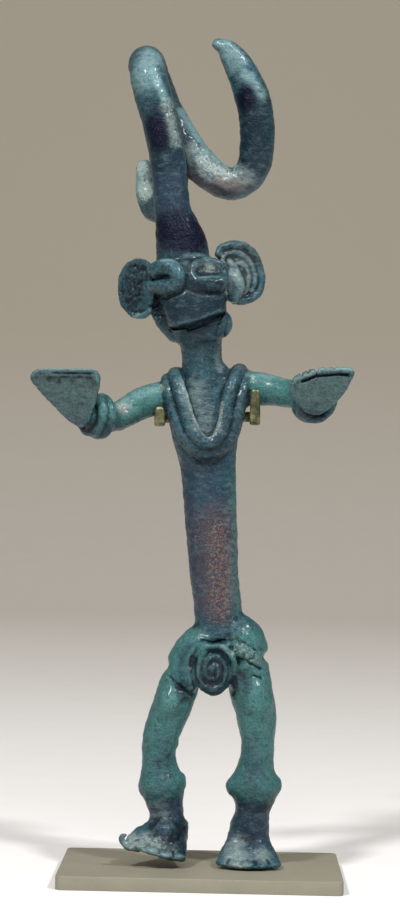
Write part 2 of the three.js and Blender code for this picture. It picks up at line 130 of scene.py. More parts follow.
bpy.ops.object.select_all(action="DESELECT")
middle = (PLATE_LOW + PLATE_HIGH) / 2
bpy.ops.mesh.primitive_cube_add(size=1, location=middle, scale=PLATE_HIGH - PLATE_LOW)
plate = bpy.context.object
plate.name = "painted_foot_plate"
bpy.ops.object.transform_apply(location=True, rotation=True, scale=True)
edit_edges(plate, lambda a, b: abs(a.z - b.z) > MM)
bpy.ops.mesh.bevel(offset=PLATE_CORNER, segments=8, affect="EDGES")
bpy.ops.object.mode_set(mode="OBJECT")
bpy.ops.mesh.primitive_cylinder_add(
    vertices=40, radius=SOCKET_RADIUS, depth=2 * SOCKET_DEPTH,
    location=(ROD_FOOT[0] * MM, ROD_FOOT[1] * MM, PLATE_HIGH.z))
drill = bpy.context.object
select_only(plate)
drilling = plate.modifiers.new("drilling", "BOOLEAN")
drilling.object = drill
drilling.solver = "EXACT"
bpy.ops.object.modifier_apply(modifier="drilling")
bpy.data.objects.remove(drill)
easing = plate.modifiers.new("easing", "BEVEL")
easing.width = PLATE_EDGE
easing.segments = 3
easing.limit_method = "ANGLE"
easing.angle_limit = math.radians(50)
bpy.ops.object.modifier_apply(modifier="easing")
bpy.ops.object.shade_smooth_by_angle(angle=math.radians(35))
plate.data.materials.append(paint)
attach(plate, "root")
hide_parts("foot_plate")

# Support rod: brass rod bent cold to pass behind one leg and the trunk, with a flat strip
# soldered across its top whose ends are turned up in front of the arms as two prongs.
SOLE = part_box("figurine")[0].z / MM
ROD_RADIUS = 1.3
STRIP_HALF_WIDTH = 1.25
STRIP_HALF_THICKNESS = 0.6
CROSSBAR_Y = 10.9
CROSSBAR_HALF_HEIGHT = 1.15
THINNEST = 0.05
DOME_ROWS = 4


def solid(name, points, faces):
    """A closed mesh of those faces, all facing outwards."""
    mesh = bpy.data.meshes.new(name)
    mesh.from_pydata(points, [], faces)
    piece = bpy.data.objects.new(name, mesh)
    bpy.context.scene.collection.objects.link(piece)
    select_only(piece)
    bpy.ops.object.mode_set(mode="EDIT")
    bpy.ops.mesh.select_all(action="SELECT")
    bpy.ops.mesh.normals_make_consistent(inside=False)
    bpy.ops.object.mode_set(mode="OBJECT")
    return piece


def bar(stations, across=(1, 0, 0), square=2.0, sides=20, pitch=0.8, dome=(1, 1), closed=False):
    """A solid swept through stations (x, y, z, half width, half depth), with domed ends.
    across is the way of the half width, and square above 2 flattens the oval's sides."""
    knots = np.array([(*s, s[3])[:5] for s in stations], float)
    spans = len(knots) if closed else len(knots) - 1
    if closed:
        padded = np.concatenate([knots[-1:], knots, knots[:2]])
    else:
        padded = np.concatenate([[2 * knots[0] - knots[1]], knots, [2 * knots[-1] - knots[-2]]])
    length = np.linalg.norm(np.diff(padded[1:-1, :3], axis=0), axis=1).sum()
    rows = max(8, int(length / pitch))
    u = np.linspace(0, spans, rows, endpoint=not closed)
    at = np.minimum(u.astype(int), spans - 1)
    t = (u - at)[:, None]
    p0, p1, p2, p3 = (padded[at + k] for k in range(4))
    value = 0.5 * (2 * p1 + (p2 - p0) * t + (2 * p0 - 5 * p1 + 4 * p2 - p3) * t ** 2
                   + (3 * p1 - p0 - 3 * p2 + p3) * t ** 3)
    centre, half = value[:, :3], np.maximum(value[:, 3:], THINNEST)
    if closed:
        along = np.roll(centre, -1, 0) - np.roll(centre, 1, 0)
    else:
        along = np.gradient(centre, axis=0)
    along /= np.linalg.norm(along, axis=1)[:, None]
    width = np.array(across, float)
    widths = []
    for step in along:
        width = width - width.dot(step) * step
        width /= np.linalg.norm(width)
        widths.append(width)
    widths = np.array(widths)
    if not closed:
        turn = np.arange(1, DOME_ROWS) / DOME_ROWS * math.pi / 2
        before, after = np.zeros(len(turn), int), np.full(len(turn), rows - 1)
        pick = np.concatenate([before, np.arange(rows), after])
        shrink = np.concatenate([np.cos(turn)[::-1], np.ones(rows), np.cos(turn)])
        reach = np.concatenate([-np.sin(turn)[::-1] * dome[0], np.zeros(rows), np.sin(turn) * dome[1]])
        centre = centre[pick] + along[pick] * (reach * half[pick, 1])[:, None]
        half = half[pick] * shrink[:, None]
        along, widths = along[pick], widths[pick]
    depths = np.cross(along, widths)
    angle = np.arange(sides) / sides * 2 * math.pi
    oval_x = np.sign(np.cos(angle)) * np.abs(np.cos(angle)) ** (2 / square)
    oval_y = np.sign(np.sin(angle)) * np.abs(np.sin(angle)) ** (2 / square)
    points = (centre[:, None] + widths[:, None] * (oval_x[None] * half[:, :1])[..., None]
              + depths[:, None] * (oval_y[None] * half[:, 1:])[..., None])
    count = len(centre)
    shift = 0
    if closed:
        gap = ((points[0][None] - points[-1][:, None]) ** 2).sum(-1)
        shift = int(np.argmin(gap[0]))
    faces = []
    for row in range(count if closed else count - 1):
        turn = shift if row == count - 1 else 0
        low, high = row * sides, (row + 1) % count * sides
        for i in range(sides):
            j = (i + 1) % sides
            faces.append((low + i, low + j, high + (j + turn) % sides, high + (i + turn) % sides))
    points = points.reshape(-1, 3)
    if not closed:
        tips = [centre[k] + along[k] * sign * half[k, 1] * THINNEST
                for k, sign in ((0, -1), (-1, 1))]
        first, last = len(points), len(points) + 1
        points = np.concatenate([points, tips])
        for i in range(sides):
            j = (i + 1) % sides
            faces.append((first, j, i))
            faces.append((last, (count - 1) * sides + i, (count - 1) * sides + j))
    return solid("bar", points.tolist(), faces)


def joined(pieces, name):
    """The pieces as one object of that name, with its place in its mesh."""
    select_only(*pieces)
    bpy.ops.object.join()
    bpy.ops.object.transform_apply(location=True, rotation=True, scale=True)
    bpy.context.object.name = name
    return bpy.context.object


def apply_modifier(piece, kind, **settings):
    modifier = piece.modifiers.new(kind.lower(), kind)
    for name, value in settings.items():
        setattr(modifier, name, value)
    select_only(piece)
    bpy.ops.object.modifier_apply(modifier=modifier.name)


def to_row_frame(piece):
    """Brings a mesh worked in millimetres above the soles to metres above the table."""
    piece.data.transform(Matrix.Scale(MM, 4) @ Matrix.Translation((0, 0, SOLE)))


def prong(x, bed, tip):
    """A strip from the crossbar, under an arm and up in front of it, square in section."""
    run = [
        # y, z, share of the strip's width
        (CROSSBAR_Y, bed + 1.2, 1), (5.0, bed, 1), (0.5, bed, 1), (-2.3, bed - 0.6, 1),
        (-3.8, bed + 0.9, 1), (-3.9, (bed + tip) / 2 + 0.6, 0.94), (-3.9, tip, 0.86),
    ]
    stations = [(x, y, z, STRIP_HALF_WIDTH * share, STRIP_HALF_THICKNESS) for y, z, share in run]
    return bar(stations, square=2.8, sides=32, pitch=0.3, dome=(1, 1.6))


LEFT_PRONG, LEFT_BED, LEFT_TIP = -11.7, 104.4, 107.0
RIGHT_PRONG, RIGHT_BED, RIGHT_TIP = 10.8, 105.1, 111.6
rod = joined([
    bar([
        (*ROD_FOOT, -1.7, ROD_RADIUS),
        (*ROD_FOOT, 20, ROD_RADIUS),
        (11.6, 15.2, 40, ROD_RADIUS),
        (6.6, 13.6, 54, ROD_RADIUS),
        (2.6, 11.6, 68, ROD_RADIUS),
        (0.6, CROSSBAR_Y, 90, ROD_RADIUS),
        (-0.4, CROSSBAR_Y, 105.4, ROD_RADIUS),
    ], sides=28, dome=(0.4, 0.5)),
    bar([
        (LEFT_PRONG, CROSSBAR_Y, LEFT_BED + 1.2, CROSSBAR_HALF_HEIGHT, STRIP_HALF_WIDTH),
        (-0.4, CROSSBAR_Y, 105.8, CROSSBAR_HALF_HEIGHT, STRIP_HALF_WIDTH),
        (RIGHT_PRONG, CROSSBAR_Y, RIGHT_BED + 1.2, CROSSBAR_HALF_HEIGHT, STRIP_HALF_WIDTH),
    ], across=(0, 1, 0), square=4, sides=28, dome=(0.3, 0.3)),
    prong(LEFT_PRONG, LEFT_BED, LEFT_TIP),
    prong(RIGHT_PRONG, RIGHT_BED, RIGHT_TIP),
], "bent_brass_rod")
to_row_frame(rod)
select_only(rod)
bpy.ops.object.shade_smooth_by_angle(angle=math.radians(50))

# Brass toned to an olive drab so that it won't draw the eye: metal still shows as a warm
# yellow where the toning has rubbed off, over the faint grain that drawing left.
CLOUDS_PER_MM = 0.24
GRAINS_PER_MM = 1.8
brass = new_material("olive_toned_brass")
place = add(brass, "ShaderNodeTexCoord", {}, {}, "Object")
cloud = add(brass, "ShaderNodeTexNoise", {},
            {"Vector": place, "Scale": CLOUDS_PER_MM / MM, "Detail": 6, "Roughness": 0.65})
rubbed = add(brass, "ShaderNodeMapRange", {}, {"Value": cloud, 1: 0.4, 2: 0.68, 3: 0, 4: 1})
toned = add(brass, "ShaderNodeMix", {"data_type": "RGBA"},
            {0: rubbed, 6: "#3a4029", 7: "#9a9470"}, 2)
dulled = add(brass, "ShaderNodeMapRange", {}, {"Value": rubbed, 1: 0, 2: 1, 3: 0.46, 4: 0.27})
drawn = add(brass, "ShaderNodeTexNoise", {},
            {"Vector": place, "Scale": GRAINS_PER_MM / MM, "Detail": 2})
drawn_bump = add(brass, "ShaderNodeBump", {},
                 {"Strength": 0.3, "Distance": 0.04 * MM, "Height": drawn})
shader = add(brass, "ShaderNodeBsdfPrincipled", {},
             {"Base Color": toned, "Metallic": 0.7, "Roughness": dulled, "Normal": drawn_bump})
add(brass, "ShaderNodeOutputMaterial", {}, {"Surface": shader})
rod.data.materials.append(brass)
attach(rod, "root")
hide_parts("support_rod")

# Figurine, its larger forms: one solid bronze casting from a hand-modelled wax. The limbs
# were rolled, bent and pressed together, and the joins were smeared over with a thumb.
WAX_GRAIN = 0.5
BLEND_PASSES = 7


def pebble(centre, radii, turn=(0, 0, 0)):
    """A lump of wax, turned by angles in degrees."""
    angles = [math.radians(a) for a in turn]
    bpy.ops.mesh.primitive_uv_sphere_add(segments=36, ring_count=18, radius=1, location=centre,
                                         rotation=angles, scale=radii)
    return bpy.context.object


def trunk():
    return [bar([
        (-2.6, 0.8, 129.0, 4.9, 4.6),
        (-2.3, 1.2, 124.0, 4.85, 4.6),
        (-2.0, 1.8, 118.5, 4.9, 4.6),
        (-1.3, 2.5, 115.2, 6.6, 4.8),
        (-0.7, 3.0, 112.0, 9.4, 5.0),
        (-0.9, 3.0, 107.0, 9.3, 5.2),
        (-0.9, 3.0, 101.0, 8.1, 5.4),
        (-0.2, 3.0, 95.5, 6.9, 5.4),
        (0.2, 3.0, 90.0, 6.5, 5.4),
        (0.9, 3.0, 81.0, 6.2, 5.35),
        (1.7, 3.0, 70.0, 5.85, 5.3),
        (2.8, 3.0, 61.0, 5.7, 5.25),
        (3.3, 3.0, 55.0, 5.9, 5.2),
        (3.0, 3.0, 49.5, 5.6, 4.9),
    ], sides=32)]


def arms():
    return [
        bar([
            (-6.5, 3.0, 110.8, 4.1),
            (-12.3, 2.0, 109.9, 4.0),
            (-17.0, 0.8, 108.3, 3.75),
            (-21.2, -1.4, 105.6, 3.45),
            (-25.0, -4.4, 104.9, 3.5),
            (-28.0, -7.0, 105.4, 3.2),
            (-30.2, -8.6, 106.2, 2.5, 2.2),
        ], across=(0, 0, 1), sides=24, dome=(1, 0.3)),
        bar([
            (6.5, 3.0, 112.6, 4.1),
            (12.4, 2.2, 112.7, 4.0),
            (17.0, 0.4, 112.0, 3.45),
            (21.0, -2.4, 111.3, 3.3),
            (24.0, -5.6, 110.2, 3.5),
            (25.0, -8.8, 109.6, 2.7, 2.3),
        ], across=(0, 0, 1), sides=24, dome=(1, 0.3)),
    ]


def legs():
    return [
        bar([
            (3.0, 3.0, 52.6, 5.6, 5.4),
            (-0.8, 3.0, 51.2, 5.4, 5.4),
            (-4.0, 2.4, 47.0, 5.0, 5.2),
            (-5.9, 1.6, 41.8, 4.8, 5.0),
            (-8.0, 0.8, 35.6, 4.6, 4.8),
            (-9.9, 0.4, 30.4, 4.25, 4.5),
            (-10.5, 0.4, 25.6, 4.0, 4.3),
            (-10.2, 0.4, 22.0, 4.5, 4.6),
            (-9.6, 0.3, 18.6, 5.5, 5.4),
            (-9.1, 0.4, 15.6, 4.8, 4.8),
            (-8.5, 0.6, 12.0, 4.0, 4.1),
            (-8.0, 0.8, 8.6, 4.4, 4.4),
        ], sides=32),
        bar([
            (3.0, 3.0, 53.0, 5.6, 5.4),
            (8.4, 2.8, 53.0, 5.8, 5.5),
            (10.2, 1.9, 46.0, 5.3, 5.2),
            (11.3, 1.5, 40.6, 5.15, 5.1),
            (12.6, 1.1, 34.6, 4.7, 4.9),
            (13.1, 0.8, 30.0, 3.95, 4.5),
            (13.0, 0.6, 26.2, 3.9, 4.3),
            (12.6, 0.5, 22.8, 4.4, 4.5),
            (12.2, 0.4, 18.9, 6.0, 5.5),
            (12.3, 0.5, 15.8, 5.2, 4.9),
            (11.9, 0.7, 12.6, 4.1, 4.2),
            (11.4, 0.9, 8.4, 4.9, 4.6),
        ], sides=32),
        pebble((17.0, 0.6, 18.7), (1.9, 2.6, 2.6)),
        pebble((7.6, 0.2, 18.4), (2.1, 2.8, 2.4)),
        pebble((-13.7, 0.2, 17.7), (1.6, 2.6, 2.6)),
        pebble((-5.2, 0.2, 19.2), (1.6, 2.6, 2.4)),
        pebble((-6.9, -0.6, 28.2), (1.2, 1.6, 1.5)),
        pebble((-8.0, -0.8, 37.8), (3.6, 4.5, 6.2), (0, 18, 0)),
        pebble((-8.4, -4.4, 7.6), (3.0, 2.6, 3.0)),
        pebble((12.4, -0.3, 38.8), (4.0, 4.6, 6.6), (0, -10, 0)),
        pebble((9.1, 1.7, 51.8), (5.2, 4.8, 6.6), (0, -20, 0)),
        pebble((-2.7, 1.8, 49.2), (5.1, 4.7, 6.6), (0, 22, 0)),
        pebble((-3.4, -2.2, 43.4), (2.4, 2.4, 5.4), (0, 24, 0)),
        pebble((7.6, -1.4, 44.4), (2.2, 2.4, 5.0), (0, -18, 0)),
        *belt(),
    ]


def belt():
    """The wax straps that cross the hips on both sides of the groin, smeared flat."""
    return [
        bar([(4.6, -3.2, 52.0, 0.9), (7.8, -3.5, 51.3, 1.6), (10.6, -3.2, 49.8, 1.4),
             (13.4, -1.5, 47.6, 0.7)], pitch=0.5),
        bar([(7.2, -3.4, 50.0, 0.8), (9.6, -3.6, 49.6, 0.9), (12.6, -2.4, 47.6, 0.7)], pitch=0.5),
        bar([(9.6, -3.4, 46.8, 0.8), (13.0, -1.9, 45.8, 0.7)], pitch=0.5),
        bar([(0.2, -3.2, 52.0, 0.9), (-2.8, -2.9, 50.0, 1.2), (-4.4, -2.6, 46.4, 1.1),
             (-3.6, -3.2, 42.0, 0.7)], pitch=0.5),
    ]


def crest_and_horns():
    return [
        bar([
            (-6.8, 1.0, 140.5, 6.7, 5.6),
            (-7.2, 1.0, 144.8, 6.3, 5.4),
            (-7.8, 1.0, 148.2, 5.8, 5.2),
            (-8.7, 1.0, 151.2, 5.2, 4.9),
            (-9.6, 1.0, 154.0, 4.5, 4.4),
            (-10.2, 1.0, 158.0, 4.3, 4.3),
            (-10.8, 1.0, 165.0, 4.3, 4.3),
            (-13.1, 1.0, 176.0, 4.45, 4.4),
            (-15.7, 1.6, 185.5, 4.5, 4.4),
            (-16.9, 5.8, 190.6, 4.4, 4.3),
            (-15.4, 10.2, 187.2, 4.35, 4.3),
            (-11.6, 10.6, 178.8, 4.35, 4.3),
            (-6.4, 9.6, 170.2, 4.3, 4.3),
            (-0.5, 8.6, 164.1, 4.15, 4.1),
            (4.8, 7.8, 162.1, 3.85, 3.8),
            (9.0, 6.8, 165.2, 4.0, 3.9),
            (10.2, 6.0, 172.0, 4.15, 4.0),
            (9.5, 5.2, 179.4, 4.35, 4.0),
            (7.4, 4.6, 186.0, 4.0, 3.6),
            (4.8, 4.0, 190.9, 3.4, 3.0),
            (2.3, 3.6, 193.8, 2.4, 2.2),
            (0.5, 3.4, 195.0, 1.5, 1.5),
        ], sides=32),
        bar([
            (-11.2, 10.6, 176.0, 3.4, 3.6),
            (-10.0, 12.2, 167.0, 3.7, 3.6),
            (-10.8, 15.6, 160.0, 3.7, 3.6),
            (-14.2, 20.0, 157.2, 3.5, 3.5),
            (-16.6, 22.3, 162.2, 3.0, 3.0),
            (-17.5, 22.3, 167.6, 2.0, 2.1),
        ], sides=28),
        pebble((0.3, 3.4, 195.1), (1.8, 1.5, 1.5)),
        pebble((2.4, 3.2, 194.2), (2.6, 1.9, 2.0), (0, 25, 0)),
    ]


def head():
    return [
        pebble((-4.9, 0.8, 138.6), (9.9, 7.0, 5.4)),
        bar([
            (-4.5, -0.6, 139.0, 8.6, 6.4),
            (-4.4, -1.8, 135.0, 7.9, 6.9),
            (-3.9, -2.6, 131.0, 7.5, 6.8),
            (-3.4, -2.8, 128.0, 6.9, 6.1),
        ], square=2.6, sides=40, dome=(0.5, 0.45)),
        bar([
            (-3.0, -1.2, 129.6, 7.2, 5.6),
            (-2.9, -0.2, 126.4, 6.6, 5.2),
            (-2.6, 0.6, 124.4, 5.4, 4.6),
        ], square=2.3, sides=40, dome=(0.3, 0.5)),
        bar([
            (-12.2, 1.4, 134.0, 3.4, 3.2),
            (-10.6, 0.8, 128.6, 2.9, 2.8),
            (-8.8, 0.2, 125.2, 2.0, 2.2),
        ]),
        pebble((3.0, -0.8, 127.8), (2.1, 3.0, 3.0)),
        pebble((-4.4, 2.4, 131.4), (6.4, 4.2, 6.4)),
        pebble((-0.9, -4.2, 139.4), (4.0, 3.2, 3.4)),
        pebble((-10.6, -3.6, 138.0), (3.9, 3.2, 3.4)),
        pebble((-5.9, -5.0, 139.4), (1.6, 1.8, 3.0)),
        pebble((-13.6, 0.4, 135.4), (2.4, 3.2, 5.0)),
        pebble((4.6, -0.6, 137.6), (2.6, 3.0, 4.0)),
    ]


def placed(pieces, turns, at):
    """Turns pieces about the origin by each (degrees, axis), then moves them, in their mesh."""
    bpy.context.view_layer.update()
    for piece in pieces:
        for degrees, axis in turns:
            turn = Matrix.Rotation(math.radians(degrees), 4, axis)
            piece.data.transform(turn @ piece.matrix_world)
            piece.matrix_world = Matrix.Identity(4)
        piece.data.transform(Matrix.Translation(at))
    return pieces


def foot_form(at, heading, tip, ankle):
    """The wedge of a foot, modelled flat about its ankle, then tipped and headed."""
    return placed([
        bar([
            (0, 1.4, ankle, 4.5, 4.4),
            (0, 0.7, ankle * 0.62, 5.2, 4.9),
            (0, -1.4, ankle * 0.38, 6.2, 4.1),
            (0, -3.6, 2.6, 7.1, 2.5),
            (0, -6.6, 1.4, 7.9, 1.25),
        ], sides=32, dome=(0.3, 1.5)),
        pebble((0, 2.8, 2.2), (4.6, 4.2, 3.2)),
    ], ((tip, "Y"), (heading, "Z")), at)


RIGHT_FOOT = {"at": (11.2, 0, 0), "heading": 0, "tip": 0}
LEFT_FOOT = {"at": (-9.6, 0, 2.9), "heading": -12, "tip": 16}
figure = joined([
    *trunk(), *arms(), *legs(), *crest_and_horns(), *head(),
    *foot_form(**RIGHT_FOOT, ankle=9.0), *foot_form(**LEFT_FOOT, ankle=7.6),
], "cast_bronze_figurine")
apply_modifier(figure, "REMESH", mode="VOXEL", voxel_size=WAX_GRAIN)
apply_modifier(figure, "SMOOTH", factor=0.5, iterations=BLEND_PASSES)

# Figurine, what was laid on: the wax strips, coils and pads of the eyes, ears, necklace,
# cuffs and groin, and the thin hands and toes, pressed on and then cast in one with it.
FINE_GRAIN = 0.3
FINE_PASSES = 2
STATIONS_PER_TURN = 12
TOE_SPREAD = 19


def eased(share):
    """A share from 0 to 1 that leaves 0 and reaches 1 gently."""
    return share * share * (3 - 2 * share)


def ring(centre, axis, radius, thickness):
    turn = Vector(axis).to_track_quat("Z", "Y").to_euler()
    bpy.ops.mesh.primitive_torus_add(location=centre, rotation=turn, major_radius=radius,
                                     minor_radius=thickness, major_segments=64, minor_segments=20)
    return bpy.context.object


def strip(points, radius, **options):
    """A rolled strip of one thickness."""
    return bar([(*p, radius) for p in points], **{"sides": 14, "pitch": 0.5, **options})


def eyes():
    return [
        bar([
            (-13.8, -5.0, 140.0, 1.8),
            (-11.4, -6.9, 140.5, 2.1),
            (-8.9, -7.8, 139.9, 2.15),
            (-7.7, -8.1, 138.0, 2.1),
            (-8.9, -7.9, 136.3, 2.05),
            (-11.3, -7.2, 135.9, 1.95),
            (-13.6, -5.4, 136.2, 1.75),
        ], across=(0, 1, 0), pitch=0.4),
        bar([
            (-4.6, -6.8, 139.5, 1.4),
            (-3.6, -6.4, 141.5, 1.15),
            (-0.8, -6.1, 142.2, 1.1),
            (1.8, -5.7, 141.5, 1.1),
            (2.9, -5.5, 139.5, 1.15),
            (1.7, -6.7, 137.2, 1.9),
            (-0.9, -7.6, 136.7, 2.05),
            (-3.5, -7.4, 137.2, 1.85),
        ], pitch=0.4, closed=True),
        pebble((-0.8, -4.9, 139.9), (3.2, 2.3, 2.0)),
    ]


def right_ear_place(x, z, out=0.0):
    """A point on the right ear's face, out millimetres in front of it."""
    return (x + 0.5 * out, 0.6 + 0.575 * (x - 6.7) - 0.87 * out, z)


def left_ear_place(x, z, out=0.0):
    return (x - 0.79 * out, 0.8 - 1.274 * (x + 18.0) - 0.62 * out, z)


def coil(place, centre, half, turns, radius, start, inner=0.12, clockwise=1):
    """A flat coil wound from its middle outwards, its strip thinner towards the middle."""
    count = int(turns * STATIONS_PER_TURN)
    stations = []
    for i in range(count + 1):
        share = i / count
        reach = inner + (1 - inner) * share
        angle = start + clockwise * share * turns * 2 * math.pi
        point = place(centre[0] + half[0] * reach * math.sin(angle),
                      centre[1] + half[1] * reach * math.cos(angle))
        stations.append((*point, radius * (0.75 + 0.25 * share)))
    return bar(stations, sides=14, pitch=0.35)


def ear_disc(place, centre, half, normal):
    bpy.ops.mesh.primitive_uv_sphere_add(segments=48, ring_count=24, radius=1)
    disc = bpy.context.object
    out = Vector(normal).normalized()
    side = Vector((0, 0, 1)).cross(out)
    frame_of_ear = Matrix((side, (0, 0, 1), out)).transposed().to_4x4()
    disc.data.transform(Matrix.Translation(place(*centre, -0.7)) @ frame_of_ear
                        @ Matrix.Diagonal((half[0], half[1], 1.35, 1)))
    return disc


def ears():
    left_outline = [(-14.6, 140.6), (-15.9, 141.9), (-17.7, 142.4), (-19.5, 141.9), (-21.0, 140.3),
                    (-21.8, 138.2), (-21.9, 135.4), (-21.2, 132.8), (-19.6, 130.7), (-17.8, 129.6),
                    (-15.9, 129.4), (-14.4, 130.4)]
    right_outline = [(1.3, 144.2), (1.9, 145.6), (3.5, 146.5), (5.8, 146.9), (8.0, 146.3),
                     (9.9, 144.7), (11.0, 142.5), (11.7, 139.7), (11.6, 137.3), (11.0, 135.6),
                     (9.5, 134.2), (7.4, 133.4), (5.4, 133.5)]
    second = [(1.9, 142.4), (2.6, 143.8), (4.0, 144.6), (5.8, 144.8), (7.7, 144.1), (9.2, 142.4),
              (9.9, 140.2), (9.9, 137.8), (9.3, 136.0)]
    third = [(4.2, 141.6), (5.9, 142.4), (7.5, 141.6), (8.3, 139.8), (8.4, 137.6), (7.8, 135.6)]
    return [
        ear_disc(left_ear_place, (-18.1, 135.9), (6.6, 7.0), (-0.79, -0.62, 0)),
        strip([left_ear_place(*p) for p in left_outline], 0.8),
        coil(left_ear_place, (-18.1, 135.9), (2.9, 5.2), 2.6, 0.55, 0.5),
        ear_disc(right_ear_place, (6.5, 140.2), (6.4, 6.9), (0.5, -0.87, 0)),
        strip([right_ear_place(*p) for p in right_outline], 0.95),
        strip([right_ear_place(*p, 0.3) for p in second], 0.6),
        strip([right_ear_place(*p, 0.5) for p in third], 0.55),
        bar([
            (*right_ear_place(4.0, 142.4, 0.6), 0.9),
            (*right_ear_place(5.0, 139.6, 1.3), 1.35),
            (*right_ear_place(5.3, 136.6, 1.6), 1.75),
            (*right_ear_place(4.6, 134.2, 1.4), 1.5),
        ], pitch=0.5),
    ]


def necklace():
    inner = [
        (-0.2, -4.5, 99.1), (-2.9, -4.4, 101.0), (-4.9, -4.0, 105.0), (-6.7, -3.4, 110.4),
        (-8.0, -1.4, 114.6), (-8.3, 3.4, 116.1), (-5.0, 7.8, 115.6), (3.6, 7.8, 115.8),
        (7.0, 3.4, 117.0), (5.9, -1.4, 115.0), (4.4, -3.4, 110.0), (3.6, -4.0, 104.4),
        (2.2, -4.4, 100.6),
    ]
    outer = [
        (-0.2, -4.0, 96.9), (-3.8, -3.9, 98.6), (-6.6, -3.2, 102.4), (-8.8, -2.5, 107.6),
        (-10.0, -0.4, 113.2), (-10.2, 3.4, 114.9), (-5.4, 8.2, 113.3), (4.0, 8.2, 113.5),
        (8.9, 3.4, 115.9), (8.1, -0.8, 113.8), (6.9, -2.8, 107.6), (5.6, -3.4, 101.8),
        (2.9, -3.9, 98.2),
    ]
    ridge = [
        (-0.3, -3.4, 95.6), (-4.2, -3.3, 97.3), (-7.6, -2.4, 101.4), (-9.7, -1.2, 107.2),
        (-11.0, 0.6, 112.6), (-11.1, 3.4, 113.6), (-5.8, 8.4, 111.8), (4.4, 8.4, 112.0),
        (9.7, 3.4, 114.6), (9.1, 0.2, 112.6), (7.9, -1.6, 106.8), (6.5, -2.7, 101.0),
        (3.2, -3.3, 96.9),
    ]
    return [
        strip(inner, 1.6, sides=20, closed=True),
        strip(outer, 1.25, sides=18, closed=True),
        strip(ridge, 0.55, sides=12, closed=True),
    ]


def hand(outline, wrist, lean, lip, half=0.95, tight=0.6):
    """A thin fan with a straight edge of fingers, whose top leans forward by lean degrees.
    lip is the run of its edge that is thickened, half is half its thickness, and tight says
    how roundly its outline goes through the points."""
    knots = np.array(outline, float)
    padded = np.concatenate([knots[-1:], knots, knots[:2]])
    edge = []
    for i in range(len(knots)):
        p0, p1, p2, p3 = padded[i:i + 4]
        for t in np.arange(0, 1, 0.2):
            edge.append(p1 + (p2 - p1) * eased(t) * (1 - tight) + tight * 0.5 * (
                (p2 - p0) * t + (2 * p0 - 5 * p1 + 4 * p2 - p3) * t ** 2
                + (3 * p1 - p0 - 3 * p2 + p3) * t ** 3))
    count = len(edge)
    front = [(x, -half, z) for x, z in edge]
    back = [(x, half, z) for x, z in edge]
    faces = [list(range(count)), list(range(2 * count - 1, count - 1, -1))]
    faces += [(i, i + count, (i + 1) % count + count, (i + 1) % count) for i in range(count)]
    fan = solid("hand", front + back, faces)
    rim = strip([(x, -0.7, z) for x, z in lip], 0.8, sides=12)
    return placed([fan, rim], ((lean, "X"),), wrist)


def hands():
    left = hand(
        [(-11.1, 10.9), (-10.8, 12.3), (-9.3, 13.1), (-3.0, 13.3), (2.8, 13.4), (4.6, 12.9), (5.3, 11.5),
         (5.1, 9.0), (4.2, 5.4), (2.8, 0.9), (0.6, -0.4), (-2.2, 1.5), (-6.3, 5.3), (-9.6, 8.9)],
        (-30.8, -9.4, 102.9), 14,
        [(-10.2, 11.9), (-8.8, 12.5), (-3.0, 12.7), (2.8, 12.8), (4.3, 12.1), (4.6, 10.8)])
    right = hand(
        [(-5.6, 7.4), (-4.7, 9.2), (-3.2, 10.4), (0.4, 11.6), (5.8, 12.1), (8.4, 11.9), (9.3, 10.8),
         (8.4, 8.4), (7.0, 6.1), (4.8, 3.4), (1.2, 0.8), (-2.0, 1.4), (-4.1, 3.6), (-5.5, 5.8)],
        (24.4, -10.0, 105.6), 10,
        [(-3.4, 9.6), (0.8, 11.1), (5.6, 11.6), (8.3, 11.2)])
    return left + right


def cuffs():
    return [
        ring((-25.7, -5.2, 105.2), (-0.72, -0.68, 0.05), 4.35, 1.15),
        ring((-27.5, -6.8, 105.5), (-0.72, -0.68, 0.05), 4.1, 1.15),
        ring((24.2, -5.6, 110.0), (0.3, -0.95, -0.2), 4.45, 1.15),
        ring((24.8, -7.4, 109.7), (0.3, -0.95, -0.2), 4.2, 1.15),
    ]


def groin():
    def face(x, z, out=0.0):
        return (x, -5.35 + 0.02 * ((x - 2.2) ** 2 + (z - 46) ** 2) - out, z)
    return [
        pebble((2.2, -3.2, 46.1), (4.7, 2.2, 6.3)),
        coil(face, (2.2, 46.0), (3.9, 5.3), 2.1, 0.68, -1.2, inner=0.12),
        bar([(-2.2, -4.0, 49.4, 0.5), (0.0, -5.0, 51.3, 0.8), (2.6, -5.3, 51.8, 0.85),
             (5.2, -5.0, 50.9, 0.85), (6.8, -4.6, 48.4, 0.7), (7.1, -3.8, 45.0, 0.4)], pitch=0.5),
    ]


def on_fan(turn, across, ahead, height):
    """A place on the fan of the toes, turn degrees round from its middle."""
    fan = math.radians(turn)
    return (math.sin(fan) * across, 1.0 - math.cos(fan) * ahead, height)


def toes(at, heading, tip):
    """Five barely parted toes on a thin lip along the front of a foot."""
    pieces = [strip([on_fan(turn, 9.0, 10.3, 0.9) for turn in range(-50, 51, 20)], 0.85)]
    for place in range(-2, 3):
        turn = place * TOE_SPREAD
        pieces.append(pebble(on_fan(turn, 9.1, 9.9, 0.95), (1.75, 1.7, 0.9), (0, 0, turn)))
    return placed(pieces, ((tip, "Y"), (heading, "Z")), at)


def curled_toe():
    return [bar([
        (-14.6, -6.4, 4.2, 1.3, 1.0),
        (-17.0, -7.5, 4.7, 0.95),
        (-18.5, -7.9, 6.0, 0.72),
        (-18.4, -7.9, 7.1, 0.58),
        (-17.7, -7.8, 7.3, 0.5),
    ], sides=14, pitch=0.4)]


